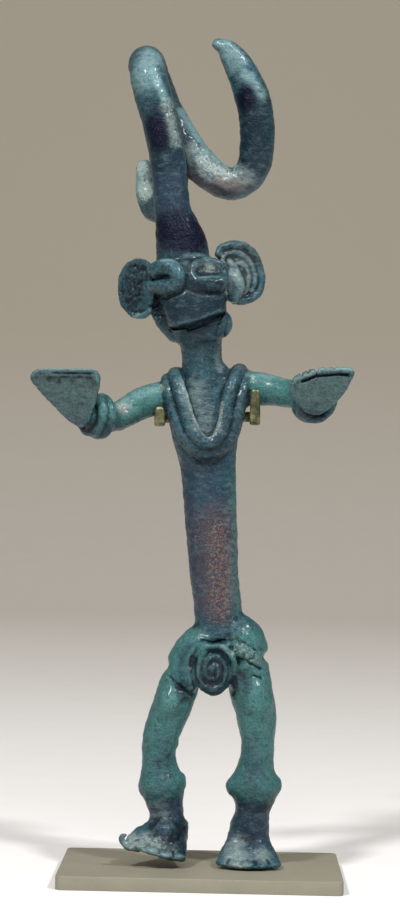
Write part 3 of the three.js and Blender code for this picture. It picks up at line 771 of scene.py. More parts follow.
figure = joined([
    figure, *eyes(), *ears(), *necklace(), *hands(), *cuffs(), *groin(),
    *toes(**RIGHT_FOOT), *toes(**LEFT_FOOT), *curled_toe(),
], "cast_bronze_figurine")
apply_modifier(figure, "REMESH", mode="VOXEL", voxel_size=FINE_GRAIN)
apply_modifier(figure, "SMOOTH", factor=0.5, iterations=FINE_PASSES)

# Figurine, tool marks: the mouth, the eye slot, the creases and the splits between the
# toes were cut or pressed with a point in the wax, before the mould was made.
INWARD = (0, 1, 0)
FRONT_NORMAL = -0.2
FRONT_LIMIT = 3
TAPER = 4.4


def read(mesh, what="co"):
    flat = np.empty(len(mesh.vertices) * 3, np.float32)
    if what == "co":
        mesh.vertices.foreach_get("co", flat)
    else:
        mesh.vertex_normals.foreach_get("vector", flat)
    return flat.reshape(-1, 3).astype(float)


def distance_to_line(co, points):
    """How far each place lies from a line through the points, and how far along it."""
    best = np.full(len(co), np.inf)
    share = np.zeros(len(co))
    points = np.array(points, float)
    for i in range(len(points) - 1):
        a, d = points[i], points[i + 1] - points[i]
        t = np.clip(((co - a) @ d) / (d @ d), 0, 1)
        away = np.linalg.norm(co - a - t[:, None] * d, axis=1)
        nearer = away < best
        best[nearer] = away[nearer]
        share[nearer] = (i + t[nearer]) / (len(points) - 1)
    return best, share


def press(mesh, points, width, depth, push=None, taper=True):
    """Presses a groove along a line of points, or raises a ridge if depth is negative. Points
    with only x and z lie on the front, wherever its skin is."""
    co, normal = read(mesh), read(mesh, "normal")
    points = np.array(points, float)
    axes = [0, 1, 2] if points.shape[1] == 3 else [0, 2]
    low, high = points.min(0) - width, points.max(0) + width
    inside = ((co[:, axes] > low) & (co[:, axes] < high)).all(1)
    if len(axes) == 2:
        inside &= (normal[:, 1] < FRONT_NORMAL) & (co[:, 1] < FRONT_LIMIT)
    near = np.where(inside)[0]
    away, share = distance_to_line(co[near][:, axes], points)
    fall = eased(np.clip(1 - away / width, 0, 1))
    if taper:
        fall = fall * np.clip(TAPER * np.sqrt(np.maximum(share * (1 - share), 0)), 0, 1)
    way = normal[near] if push is None else -np.array(push, float)
    co[near] -= way * (fall * depth)[:, None]
    mesh.vertices.foreach_set("co", co.astype(np.float32).ravel())
    mesh.update()


body = figure.data
GROOVES = (
    # points, width, depth, and the way it was pushed where that isn't square to the skin
    # The mouth, wedge-shaped, and the fold of the lip at its right.
    ([(-9.9, 126.2), (-7.6, 126.3), (-4.8, 126.8), (-1.3, 128.1), (1.0, 129.1), (3.6, 130.3)],
     0.7, 2.2, INWARD),
    ([(-5.8, 125.9), (-2.4, 126.9), (0.6, 128.1), (2.8, 129.4)], 0.7, 2.0, INWARD),
    ([(-1.6, 126.1), (0.8, 126.9), (2.6, 127.8)], 0.5, 0.45),
    # The slot of the folded eye, the pit of the round one, and the creases about them.
    ([(-14.4, -6.2, 137.7), (-12.6, -8.2, 138.0), (-10.8, -9.4, 138.3)], 0.6, 1.8, (0.3, 1, 0)),
    ([(-2.6, 139.8), (-0.4, 140.0), (1.4, 139.8)], 1.3, 0.4, INWARD),
    ([(-13.6, 133.5), (-10.6, 133.2), (-7.4, 134.2), (-6.0, 135.7), (-4.5, 135.0),
      (-1.6, 134.4), (1.6, 134.5), (4.2, 135.4)], 0.5, 0.5),
    ([(-5.9, 139.0), (-5.9, 136.0)], 0.5, 0.3),
    # The folds of the jaw.
    ([(4.3, 130.2), (4.1, 127.6), (3.1, 124.8)], 0.6, 0.6),
    ([(2.2, 129.4), (2.0, 127.0), (1.2, 124.6)], 0.6, 0.45),
    # The belt line, and creases where the straps and folds of the hips were pressed down.
    ([(-1.2, 52.9), (1.6, 52.4), (5.0, 53.1)], 0.45, 0.7, INWARD),
    ([(0.2, 52.6), (1.8, 52.4), (3.8, 52.8)], 0.45, 0.7, INWARD),
    ([(-10.0, -4.0, 46.8), (-10.6, 2.0, 46.6), (-10.0, 8.0, 46.4)], 2.8, 1.3, (1, 0, 0)),
    ([(14.8, -4.0, 49.2), (15.2, 2.0, 49.0), (14.6, 8.0, 48.8)], 1.7, 1.1, (-1, 0, 0)),
    ([(7.2, 53.6), (9.8, 52.4), (12.2, 50.6)], 0.5, 0.35),
    ([(7.4, 49.3), (9.6, 48.6), (11.8, 47.2), (13.8, 46.2)], 0.5, 0.8),
    ([(11.4, 45.0), (13.8, 44.2)], 0.45, 0.7),
    ([(-1.9, 51.2), (-3.2, 48.4), (-3.2, 45.0), (-2.0, 41.6)], 0.6, 0.35),
    ([(-8.6, 44.6), (-6.6, 42.6), (-4.4, 40.8), (-2.4, 39.8)], 0.8, 0.5),
    ([(7.4, 44.6), (7.6, 42.0), (6.8, 39.8)], 0.6, 0.4),
    # The grooves of the fingers, under each hand's edge.
    ([(-40.2, 114.6), (-33.0, 114.8), (-27.2, 114.8)], 0.4, 0.35, INWARD),
    ([(21.3, 113.8), (25.0, 115.3), (30.0, 115.9), (32.4, 115.6)], 0.4, 0.5, INWARD),
)
for points, width, depth, *way in GROOVES:
    press(body, points, width, depth, push=way[0] if way else None)
# The notches between the fingers of the right hand: each one's place along it and depth.
NOTCHES = ((19.7, 1.5), (21.3, 1.9), (22.8, 1.4), (24.7, 1.7), (26.9, 1.1), (28.8, 0.8))
for x, depth in NOTCHES:
    height = np.interp(x, (18.8, 21.2, 24.8, 30.2), (113.2, 115.7, 117.0, 117.5))
    press(body, [(x, -14.4, height), (x + 0.3, -9.6, height)], 0.55, depth,
          push=(0, 0, -1), taper=False)


def toe_splits(at, heading, tip):
    headed = Matrix.Rotation(math.radians(heading), 4, "Z")
    spin = headed @ Matrix.Rotation(math.radians(tip), 4, "Y")
    for place in (-1.5, -0.5, 0.5, 1.5):
        line = []
        for reach, height in ((9.4, 2.1), (10.6, 1.8), (11.5, 1.0), (11.6, 0.2)):
            flat = Vector(on_fan(place * TOE_SPREAD, reach, reach, height))
            line.append(tuple(Vector(at) + spin @ flat))
        press(body, line, 0.55, 0.75, taper=False)


toe_splits(**RIGHT_FOOT)
toe_splits(**LEFT_FOOT)

# Figurine, the cast skin: the bronze took up the wax's thumbed unevenness, and centuries
# in the ground pitted it. The left ear's face and the deposits stand up as coarse grains.
TRIANGLES = 192000
ZONE_REACH = 1.35
WEIGHT_STEPS = 10


def zone(co, patches):
    """How far each place lies inside soft patches, 1 in the middle and 0 outside. A patch is
    a line of one or more points with its radii, and its strength if it isn't full."""
    inside = np.zeros(len(co))
    for points, radii, *strength in patches:
        scaled, line = co / np.array(radii), np.array(points, float) / np.array(radii)
        if len(line) == 1:
            away = np.linalg.norm(scaled - line[0], axis=1)
        else:
            away = distance_to_line(scaled, line)[0]
        fall = eased(np.clip(ZONE_REACH - away, 0, 1))
        inside = np.maximum(inside, fall * (strength[0] if strength else 1))
    return inside


def roughen(name, size, depth, where=None, kind="CLOUDS", **settings):
    """Moves the skin in and out by depth, over grains of that size, where a mask says."""
    texture = bpy.data.textures.new(name, kind)
    texture.noise_scale = size
    for key, value in settings.items():
        setattr(texture, key, value)
    options = {"texture": texture, "texture_coords": "LOCAL", "mid_level": 0.5, "strength": depth}
    if where is not None:
        group = figure.vertex_groups.new(name=name)
        weights = where(read(figure.data))
        for level in range(1, WEIGHT_STEPS + 1):
            picked = np.where(np.round(weights * WEIGHT_STEPS) == level)[0]
            group.add(picked.tolist(), level / WEIGHT_STEPS, "REPLACE")
        options["vertex_group"] = name
    apply_modifier(figure, "DISPLACE", **options)


def on_coarse_faces(co):
    face = zone(co, [
        ([(-18.4, 1.0, 135.8)], (4.2, 5.4, 6.4)),
        ([(-12.6, -1.6, 131.5)], (2.2, 4.0, 4.0)),
        ([(7.4, -5.0, 51.4), (11.0, -4.6, 49.6)], (2.4, 3.0, 2.0), 0.85),
    ])
    return face * (co[:, 1] < 8)


def on_deposits(co):
    return zone(co, [
        ([(-3.4, 5.0, 167.6), (-0.3, 4.5, 165.4), (4.0, 4.5, 163.4)], (4.0, 4.5, 3.4)),
        ([(-17.4, 20.8, 166.0)], (2.5, 3.0, 4.5)),
        ([(-11.2, -2.5, 179.3), (-9.9, -2.5, 174.0), (-8.4, -1.0, 170.0)], (1.8, 3.0, 2.0)),
        ([(8.6, -5.0, 50.6)], (3.6, 3.0, 2.6)),
        ([(11.2, -6.0, 4.0)], (8.0, 5.0, 3.0), 0.3),
        ([(-12.0, -6.0, 6.0)], (7.0, 5.0, 3.0), 0.3),
        ([(-0.8, -5.8, 139.9)], (2.2, 2.4, 1.3)),
        ([(9.6, -1.0, 136.4)], (2.4, 3.0, 3.0)),
    ])


roughen("thumbed_wax", 7.0, 0.6)
roughen("knocks", 2.4, 0.36)
roughen("pits", 0.9, 0.22)
roughen("ear_grains", 1.0, 1.3, where=on_coarse_faces, contrast=2.4)
roughen("crust", 0.9, 0.3, where=on_deposits, contrast=1.4)
figure.vertex_groups.clear()
figure.data.calc_loop_triangles()
apply_modifier(figure, "DECIMATE", ratio=min(1.0, TRIANGLES / len(figure.data.loop_triangles)))


# Hollows and edges of the skin, found by how far each place stands out from the smoothed
# form about it. Handling and cleaning wore the edges bright, and the hollows are darkened
# with dirt and painted shade.
NEAR_PASSES = 8
WIDE_PASSES = 60
EASING_PASSES = 4


def spread(values, pairs, weight, passes):
    """Averages values with those of the neighbours, a number of times."""
    out = values
    for _ in range(passes):
        total = np.empty_like(out)
        for k in range(out.shape[1]):
            total[:, k] = (np.bincount(pairs[:, 0], out[pairs[:, 1], k], len(out))
                           + np.bincount(pairs[:, 1], out[pairs[:, 0], k], len(out)))
        out = 0.5 * out + 0.5 * total / weight[:, None]
    return out


def ramp(values, start, width):
    return np.clip((values - start) / width, 0, 1)


def write(mesh, name, values):
    layer = mesh.attributes.new(name, "FLOAT", "POINT")
    layer.data.foreach_set("value", np.clip(values, 0, 1).astype(np.float32))


body = figure.data
place_of = read(body)
facing = read(body, "normal")
pairs = np.empty(len(body.edges) * 2, np.int32)
body.edges.foreach_get("vertices", pairs)
pairs = pairs.reshape(-1, 2)
weight = np.maximum(np.bincount(pairs.ravel(), minlength=len(place_of)), 1)
near_form = spread(place_of, pairs, weight, NEAR_PASSES)
wide_form = spread(near_form, pairs, weight, WIDE_PASSES)
fine = ((place_of - near_form) * facing).sum(1)
broad = ((place_of - wide_form) * facing).sum(1)
broad = spread(broad[:, None], pairs, weight, EASING_PASSES)[:, 0]
# The last two numbers of each are millimetres: where it starts to count, and over how much.
write(body, "edge", 0.6 * ramp(fine, 0.07, 0.07) + 0.5 * ramp(broad, 0.45, 0.4))
write(body, "hollow", 0.7 * ramp(-fine, 0, 0.12) + 0.6 * ramp(-broad, 0, 0.4))

# Where each finish lies, in millimetres above the soles: lines of points with radii, and a
# strength where it isn't full.
ZONES = {
    # Leafier green, on the hips, legs and arms.
    "green": [
        ([(10.5, 1.0, 50.0), (12.0, 1.0, 34.0), (12.5, 0.5, 20.0)], (8.0, 12.0, 7.0)),
        ([(-4.0, 1.0, 50.0), (-9.0, 1.0, 34.0), (-9.5, 0.5, 20.0)], (8.0, 12.0, 7.0)),
        ([(-14.0, 0.0, 110.5), (-25.0, -6.0, 106.0)], (5.0, 8.0, 5.0)),
        ([(13.0, 0.0, 113.5), (22.0, -5.0, 111.0)], (5.0, 8.0, 5.0)),
        ([(-17.0, 21.0, 164.0)], (4.0, 4.0, 8.0)),
        ([(6.8, 0.0, 63.0), (7.8, 0.0, 88.0)], (3.0, 5.0, 8.0), 0.6),
    ],
    # Dull grey-green on the palms: partly their own tone, partly painted shade where they face
    # down, away from the light.
    "palm": [
        ([(-33.5, -13.0, 110.5)], (11.5, 5.0, 10.0)),
        ([(26.8, -13.0, 112.5)], (10.0, 5.0, 8.5)),
    ],
    # Slate blue, up the shaft of the crest, down the trunk's left side and on the ankles.
    "slate": [
        ([(-9.8, -2.0, 156.5), (-11.4, -2.0, 165.5)], (5.5, 6.0, 5.0)),
        ([(-2.8, -1.0, 62.0), (-5.4, -1.0, 92.0)], (2.8, 5.0, 6.0)),
        ([(0.6, -1.0, 88.0), (0.0, -1.0, 93.0)], (6.6, 5.0, 5.0), 0.75),
        ([(-9.4, -5.0, 27.0), (-9.0, -5.0, 18.0)], (3.6, 5.0, 8.0), 0.55),
        ([(12.2, -5.0, 27.0), (12.2, -5.0, 18.0)], (3.6, 5.0, 8.0), 0.55),
        ([(-3.6, -3.0, 49.0), (-5.2, -3.0, 43.0)], (3.6, 5.0, 5.0), 0.6),
        ([(9.4, -3.0, 43.6)], (3.0, 4.0, 4.6), 0.7),
        ([(-8.4, -2.0, 13.0), (-7.4, -3.0, 6.5)], (5.4, 6.0, 4.4)),
        ([(12.0, -2.0, 13.2), (11.4, -3.0, 7.0)], (5.6, 6.0, 4.4), 0.8),
    ],
    # Deep blue-green: the patina's own tone on the shanks, horns, shaft and groin, and painted
    # shade on the muzzle, under the eye rolls, chin and cuffs, between the feet and under a toe lip.
    "teal_and_shade_zone": [
        ([(-9.0, -7.0, 130.6), (-3.6, -8.0, 131.6), (1.0, -7.0, 132.6)], (5.0, 6.0, 4.0)),
        ([(-3.0, -4.0, 125.0)], (6.0, 5.0, 3.6), 0.5),
        ([(-0.8, -8.6, 136.8)], (4.8, 5.0, 2.4)),
        ([(-10.0, -6.0, 135.8)], (4.6, 4.0, 2.0), 0.7),
        ([(9.2, 3.0, 168.0), (9.0, 3.0, 180.0)], (5.0, 6.0, 6.0), 0.9),
        ([(-13.4, -2.0, 176.0), (-12.0, -2.0, 167.0)], (4.6, 6.0, 5.0), 0.8),
        ([(-0.6, -4.0, 96.4), (4.0, -4.0, 98.0)], (4.6, 4.0, 3.4), 0.8),
        ([(2.2, -4.0, 45.6)], (5.8, 4.0, 8.0), 0.6),
        ([(-25.6, -6.0, 103.0)], (6.0, 6.0, 4.0), 0.7),
        ([(25.0, -8.0, 107.0)], (5.0, 5.0, 3.0), 0.6),
        ([(-5.6, -3.4, 7.0), (-5.0, -7.0, 3.4)], (3.4, 5.0, 4.0), 0.9),
        ([(11.0, -5.0, 9.4)], (2.6, 5.0, 3.4), 0.55),
        ([(-10.0, 0.0, 22.0)], (5.0, 6.0, 9.0), 0.4),
        ([(12.4, 0.0, 22.0)], (5.0, 6.0, 9.0), 0.4),
        ([(-14.0, -9.6, 2.6), (-8.0, -10.4, 1.4)], (3.4, 3.0, 0.9), 0.8),
    ],
    # Purple-brown cuprite showing through, down the trunk and under the horn's bend, and painted
    # shadow under the wrists and under the left foot's lip.
    "cuprite_and_shadow": [
        ([(2.4, -1.0, 62.0), (1.6, -1.0, 81.0)], (5.6, 6.0, 6.0)),
        ([(-5.4, 7.0, 163.6), (1.4, 5.0, 160.4), (7.4, 4.0, 162.0)], (3.0, 5.0, 2.4)),
        ([(-17.0, -9.0, 3.6), (-11.6, -9.4, 1.8)], (1.8, 3.0, 1.4)),
        ([(-32.0, -8.0, 103.2)], (4.4, 4.0, 2.2)),
        ([(24.6, -9.0, 106.4)], (3.4, 2.6, 1.4)),
    ],
    # Bare dark patina, almost black, on the crest and the trunk; and painted shade, almost black,
    # in the mouth, the eye slot, the belt slot, the crest's fork, the thigh creases, under the
    # lips of the hands and under the round eye's lower roll.
    "black_spots_and_shade": [
        ([(-8.8, -2.0, 149.8), (-5.6, -2.0, 148.6)], (6.6, 8.0, 5.6)),
        ([(-14.1, -3.4, 174.2), (-13.2, -3.4, 171.0)], (2.7, 4.0, 3.6), 0.95),
        ([(7.3, 2.0, 182.0)], (2.9, 4.0, 3.9), 0.85),
        ([(9.4, 3.0, 175.6)], (3.4, 4.0, 4.0), 0.35),
        ([(-8.6, 4.0, 171.0), (-6.7, 5.0, 163.0)], (1.3, 3.6, 1.4)),
        ([(-36.0, -13.0, 115.0), (-27.6, -13.0, 115.0)], (0.7, 2.4, 0.35), 0.8),
        ([(21.8, -12.0, 114.2), (25.0, -12.4, 115.4), (32.0, -12.4, 115.9)], (0.7, 2.4, 0.35)),
        ([(-9.6, -7.6, 126.2), (-4.8, -8.6, 126.6), (1.4, -8.0, 128.8), (3.8, -5.6, 130.2)],
         (0.7, 2.6, 0.6)),
        ([(-13.8, -6.6, 137.6), (-10.6, -8.8, 138.2)], (0.6, 2.0, 0.5)),
        ([(-0.8, -4.0, 53.0), (4.6, -4.0, 53.4)], (0.7, 2.0, 0.55)),
        ([(-4.6, -3.4, 73.0), (-1.4, -3.4, 71.8)], (1.4, 3.0, 1.0), 0.5),
        ([(-5.0, -4.0, 42.0), (-2.6, -4.4, 39.6)], (2.2, 3.0, 2.2), 0.6),
        ([(6.8, -4.0, 42.0)], (1.6, 3.0, 3.4), 0.6),
        ([(2.4, -7.0, 44.6)], (0.9, 2.0, 1.6), 0.8),
        ([(-1.4, -9.0, 136.4), (1.4, -8.6, 136.6)], (2.6, 3.0, 1.5), 0.4),
    ],
    # Coarse and dark with soil, on the left ear's face and the cheek below it.
    "soiled": [
        ([(-18.4, 0.6, 135.8)], (4.6, 6.0, 6.6)),
        ([(-12.8, -1.6, 132.0), (-9.6, -2.0, 127.0)], (2.2, 4.0, 2.6)),
        ([(8.2, -1.0, 137.6)], (3.0, 3.0, 4.4), 0.6),
        ([(-7.2, -3.0, 139.0)], (1.0, 4.0, 3.0), 0.5),
    ],
    # A brown film in the pits, and where the metal shows through thin patina.
    "brown": [
        ([(1.4, 4.5, 162.4), (5.0, 4.5, 161.4)], (3.0, 4.0, 1.8)),
        ([(9.4, -1.0, 136.8)], (1.5, 2.4, 2.2), 0.7),
        ([(-20.8, -4.0, 107.0)], (1.6, 2.4, 2.2)),
        ([(9.6, -6.0, 7.0), (9.1, -10.0, 2.0)], (1.4, 3.0, 1.6)),
    ],
    # Copper-coloured specks, down the front of the trunk.
    "copper": [
        ([(3.8, -3.0, 60.0), (3.0, -3.0, 78.0)], (5.0, 5.0, 6.4), 0.97),
        ([(-2.4, -2.4, 71.0), (-3.0, -2.4, 83.0)], (2.4, 3.0, 4.0), 0.78),
        ([(4.6, -2.0, 86.0)], (2.6, 4.0, 6.0), 0.6),
    ],
    # Pale turquoise where the patina is rubbed thin, and painted highlights on the horn's outer
    # side, the shoulder tops, the eye rolls, the hip strap and the lips of the hands and toes.
    "pale_patina_and_highlight": [
        ([(-17.4, -1.0, 186.0), (-15.4, 0.0, 190.6)], (4.0, 6.0, 4.6), 0.85),
        ([(-15.1, -2.5, 187.8), (-12.2, -2.5, 181.4)], (1.4, 3.4, 1.8)),
        ([(1.4, 2.4, 194.2), (4.4, 2.4, 190.6)], (3.4, 4.0, 3.4), 0.85),
        ([(6.7, 2.0, 188.0), (8.6, 2.0, 186.0), (10.9, 3.0, 182.6)], (1.6, 3.0, 2.0), 0.9),
        ([(-8.3, 9.0, 179.6), (-4.4, 9.0, 173.6), (-0.2, 8.6, 168.4), (4.4, 7.4, 166.4)],
         (1.5, 5.0, 1.3)),
        ([(-18.4, 20.0, 167.0), (-19.2, 20.0, 163.0)], (1.5, 4.0, 2.4)),
        ([(-20.0, -1.0, 109.6), (-12.0, -0.6, 112.8)], (2.0, 3.0, 1.2), 0.6),
        ([(10.0, -0.6, 116.2), (17.0, -1.0, 115.4)], (2.0, 3.0, 1.1), 0.6),
        ([(-41.0, -12.8, 116.0), (-27.0, -12.8, 116.2)], (0.8, 1.8, 0.6)),
        ([(20.0, -12.0, 114.6), (26.0, -12.4, 116.9), (33.4, -12.4, 117.2)], (0.8, 1.8, 0.6)),
        ([(4.4, -10.6, 1.9), (9.0, -11.6, 1.8), (14.4, -10.8, 2.2)], (1.4, 1.6, 0.45), 0.8),
        ([(-16.0, -9.0, 4.4), (-9.0, -10.4, 3.4), (-4.4, -9.0, 2.8)], (1.4, 1.6, 0.45), 0.8),
        ([(4.6, -6.0, 51.8), (6.4, -5.6, 49.8)], (0.9, 2.0, 1.0), 0.7),
        ([(-5.6, -4.0, 143.7), (-1.8, -4.6, 143.9)], (1.6, 3.4, 0.8)),
        ([(-2.2, -9.8, 138.2), (1.0, -9.0, 138.4)], (1.4, 2.0, 0.45), 0.6),
        ([(-11.4, -8.6, 142.0), (-9.6, -9.0, 142.0)], (1.2, 2.0, 0.5), 0.75),
        ([(-14.6, -1.0, 130.4), (-18.0, 0.0, 129.4)], (1.0, 3.4, 0.5)),
    ],
    # A thin pale dust of soil, soft-edged.
    "dust": [
        ([(7.4, -7.0, 5.8), (8.6, -9.0, 2.6)], (4.6, 5.0, 3.2)),
        ([(14.6, -8.0, 3.6)], (3.0, 4.0, 2.6), 0.9),
        ([(-16.0, -7.0, 5.8), (-11.0, -8.0, 4.8)], (4.0, 5.0, 3.0)),
        ([(-8.0, -8.0, 3.4)], (3.0, 4.0, 2.0), 0.6),
        ([(-5.4, 5.0, 169.0), (-0.4, 4.5, 165.2), (6.2, 4.5, 163.4)], (4.4, 4.6, 3.4), 0.9),
        ([(-17.6, 19.0, 165.0)], (3.0, 4.0, 7.0)),
        ([(-3.6, -4.0, 112.0), (-0.6, -4.4, 104.0)], (4.4, 3.0, 4.4), 0.9),
        ([(8.0, -5.0, 51.0), (11.4, -3.6, 49.0)], (2.4, 3.0, 2.0), 0.6),
        ([(-9.8, -3.0, 12.0)], (2.8, 4.0, 5.0), 0.55),
        ([(2.6, -2.0, 119.0)], (1.8, 3.0, 3.4), 0.7),
        ([(5.6, -1.0, 140.0), (8.6, -1.0, 140.6)], (5.0, 4.0, 7.4), 0.85),
        ([(-0.8, -7.0, 140.6)], (3.2, 3.0, 1.4), 0.95),
        ([(-20.0, -4.0, 107.6)], (2.6, 3.0, 2.6), 0.7),
        ([(-11.4, -2.4, 179.6), (-9.4, -1.6, 171.0)], (2.0, 3.0, 2.4), 0.7),
        ([(-6.0, -6.0, 140.4)], (1.2, 3.0, 1.8), 0.7),
        ([(6.6, -2.0, 66.0), (6.4, -2.0, 84.0)], (2.4, 4.0, 8.0), 0.35),
    ],
    # Chalky deposits left by the ground.
    "chalk": [
        ([(-3.0, 5.0, 167.2), (-0.4, 4.5, 165.5), (2.6, 4.5, 164.0)], (2.6, 4.0, 2.0), 0.7),
        ([(-17.0, 18.6, 161.6)], (2.8, 4.4, 3.6)),
        ([(-18.2, 19.6, 167.6)], (2.6, 4.4, 3.2)),
        ([(-11.4, -2.5, 179.6), (-9.9, -2.4, 174.0), (-8.5, -1.0, 170.0)], (1.3, 3.0, 1.4), 0.55),
        ([(-6.0, -4.0, 114.2), (-4.3, -4.4, 108.3), (-2.8, -4.6, 104.6), (0.1, -4.8, 100.9)],
         (1.1, 2.6, 1.0), 0.75),
        ([(3.0, -4.0, 108.8), (2.2, -4.4, 102.8), (0.6, -4.8, 100.9)], (0.8, 2.6, 0.8), 0.75),
        ([(2.9, -2.0, 117.4), (3.0, -2.0, 121.0)], (1.0, 2.4, 1.4), 0.6),
        ([(-20.8, -4.0, 107.8)], (1.8, 2.6, 1.6), 0.65),
        ([(-11.4, -1.0, 112.6)], (1.0, 2.6, 1.4), 0.7),
        ([(10.2, -1.0, 115.2)], (0.9, 2.6, 1.4), 0.8),
        ([(7.7, -5.4, 51.6), (9.4, -5.4, 51.0)], (1.7, 2.4, 1.2), 0.45),
        ([(9.7, -3.0, 55.4)], (1.4, 2.0, 1.2), 0.6),
        ([(8.2, -6.0, 6.8), (8.6, -8.0, 4.0), (9.0, -10.4, 1.2)], (1.4, 3.0, 1.8), 0.75),
        ([(7.0, -7.0, 4.6)], (2.4, 3.0, 2.2), 0.5),
        ([(13.2, -7.0, 4.2)], (2.8, 3.0, 1.8), 0.5),
        ([(-15.4, -7.0, 5.8), (-10.8, -7.0, 5.2)], (3.6, 4.0, 2.6), 0.5),
        ([(2.0, -1.0, 144.6), (2.9, -1.6, 141.6), (3.3, -2.4, 134.8)], (0.7, 2.6, 0.9), 0.8),
        ([(8.0, -1.0, 134.9), (10.6, -0.6, 137.0)], (1.1, 2.6, 1.1), 0.75),
        ([(-0.6, -7.4, 140.2)], (2.4, 2.0, 1.0), 0.6),
        ([(-11.7, -6.0, 131.6), (-10.7, -6.6, 127.8)], (0.55, 2.4, 1.0), 0.6),
    ],
}
for name, patches in ZONES.items():
    write(body, name, zone(place_of, patches))

# The casting stays inside the faceted solid's box, and is brought to its place in metres.
BOX_MARGIN = 0.001 * MM
to_row_frame(figure)
low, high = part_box("figurine")
held = np.clip(read(body), np.array(low) + BOX_MARGIN, np.array(high) - BOX_MARGIN)
body.vertices.foreach_set("co", held.astype(np.float32).ravel())
body.update()
select_only(figure)
bpy.ops.object.shade_smooth()

# Blue-green bronze patina: thin mineral layers over the metal, waxed, so it is hard and
# satin with small sharp highlights, but chalky and dull where deposits lie on it. Some of its
# coats also paint shade into grooves and hollows and highlights onto tops and lips.
patina = new_material("waxed_blue_green_bronze_patina")
place = add(patina, "ShaderNodeTexCoord", {}, {}, "Object")
# Widths of the patches in millimetres, how much finer detail they hold, and how much they
# are squeezed from top to bottom. The real skin's finest pits are finer than the grains,
# which are drawn as coarse as they need to be to show.
PATCHES = {
    "clouds": (11.0, 6.0, 1.0),
    "blotches": (3.2, 7.0, 1.0),
    "wrinkles": (2.2, 5.0, 2.0),
    "flecks": (1.1, 5.0, 1.0),
    "grains": (0.42, 2.0, 1.0),
}
PATCH_ROUGHNESS = 0.66
noises = {}
for name, (width, detail, squeeze) in PATCHES.items():
    squeezed = add(patina, "ShaderNodeVectorMath", {"operation": "MULTIPLY"},
                   {0: place, 1: (1, 1, squeeze)})
    noises[name] = add(
        patina, "ShaderNodeTexNoise", {},
        {"Vector": squeezed, "Scale": 1 / (width * MM), "Detail": detail, "Roughness": PATCH_ROUGHNESS})

# The layers in the order they formed, with painted shade and painted highlights laid in among
# them. Each lies where its zone, broken up by a noise that is centred on 0 and weighed by the
# number after it, lies between two limits.
COATS = (
    # name, colour, zone, noise, its weight, limits, share
    ("malachite_haze", "#254b57", None, "clouds", 1.0, (-0.14, 0.16), 0.9),
    ("pale_haze", "#386570", None, "blotches", 1.0, (-0.04, 0.26), 0.55),
    ("leaf_green", "#2f5f5d", "green", "clouds", 1.0, (0.1, 0.9), 0.9),
    ("light_green", "#4b7d78", "green", "blotches", 2.0, (0.4, 1.6), 0.68),
    # Grey-green on the palms, partly painted shade.
    ("palm_green", "#3c504e", "palm", "blotches", 1.0, (0.1, 0.8), 0.92),
    ("dark_flecks", "#0e1820", None, "flecks", 1.0, (-0.02, 0.26), 0.6),
    ("pale_grains", "#55797c", None, "grains", 1.0, (0.0, 0.24), 0.4),
    ("slate", "#1e2b3d", "slate", "blotches", 1.2, (0.1, 1.0), 0.8),
    # Deep teal: the patina's own tone in places, painted shade in others.
    ("teal_patina_and_shade", "#061f2a", "teal_and_shade_zone", "blotches", 1.3, (0.0, 0.9), 0.93),
    # Purple-brown: cuprite on the trunk, painted shadow under the wrists and the foot's lip.
    ("cuprite_and_shadow", "#393643", "cuprite_and_shadow", "blotches", 1.4, (0.0, 1.1), 0.86),
    # Dark brown flecks over the same zone: rust on the trunk, deeper painted shadow elsewhere.
    ("rust", "#463b38", "cuprite_and_shadow", "flecks", 1.8, (0.6, 1.4), 0.6),
    ("dark_grains", "#0a1219", None, "grains", -1.0, (0.0, 0.22), 0.55),
    ("dust", "#839390", "dust", "wrinkles", 2.0, (0.0, 1.4), 0.74),
    ("brown_film", "#5f534e", "brown", "flecks", 1.8, (0.3, 1.2), 0.65),
    # Pale turquoise: thin patina, and painted highlights on tops and lips.
    ("pale_patina_and_highlight", "#7f9fa1", "pale_patina_and_highlight", "wrinkles", 2.0, (-0.1, 1.6), 0.78),
    ("soil", "#101f2b", "soiled", "grains", 2.4, (0.35, 1.3), 0.8),
    ("copper_specks", "#80604f", "copper", "grains", 2.8, (0.88, 1.45), 0.75),
    ("rubbed_edges", "#6f9ca0", "edge", "grains", 1.2, (0.3, 1.1), 0.15),
    # Near-black in the hollows: dirt, and painted shade.
    ("dirt_and_shade", "#050e16", "hollow", "grains", 1.0, (0.1, 0.8), 0.75),
    # Almost black: bare patina, and painted shade in grooves, slots and creases.
    ("black_patina_and_shade", "#00021a", "black_spots_and_shade", "wrinkles", 1.8, (0.0, 0.95), 0.98),
    ("chalk", "#a5b0a9", "chalk", "grains", 2.0, (0.3, 1.3), 0.85),
)
skin_colour = "#1a2f38"
masks = {}
for name, colour, zone_name, noise_name, weight_of, limits, share in COATS:
    spot = {0: noises[noise_name], 1: weight_of, 2: 0.0}
    if zone_name:
        spot[2] = add(patina, "ShaderNodeAttribute", {"attribute_name": zone_name}, {}, "Fac")
    spotted = add(patina, "ShaderNodeMath", {"operation": "MULTIPLY_ADD"}, spot)
    low, high = (limit + 0.5 * weight_of for limit in limits)
    masks[name] = add(patina, "ShaderNodeMapRange", {"interpolation_type": "SMOOTHSTEP"},
                      {"Value": spotted, 1: low, 2: high, 3: 0.0, 4: share})
    skin_colour = add(patina, "ShaderNodeMix", {"data_type": "RGBA"},
                      {0: masks[name], 6: skin_colour, 7: colour}, 2)
dullness = add(patina, "ShaderNodeMapRange", {},
               {"Value": noises["flecks"], 1: 0.3, 2: 0.7, 3: 0.24, 4: 0.42})
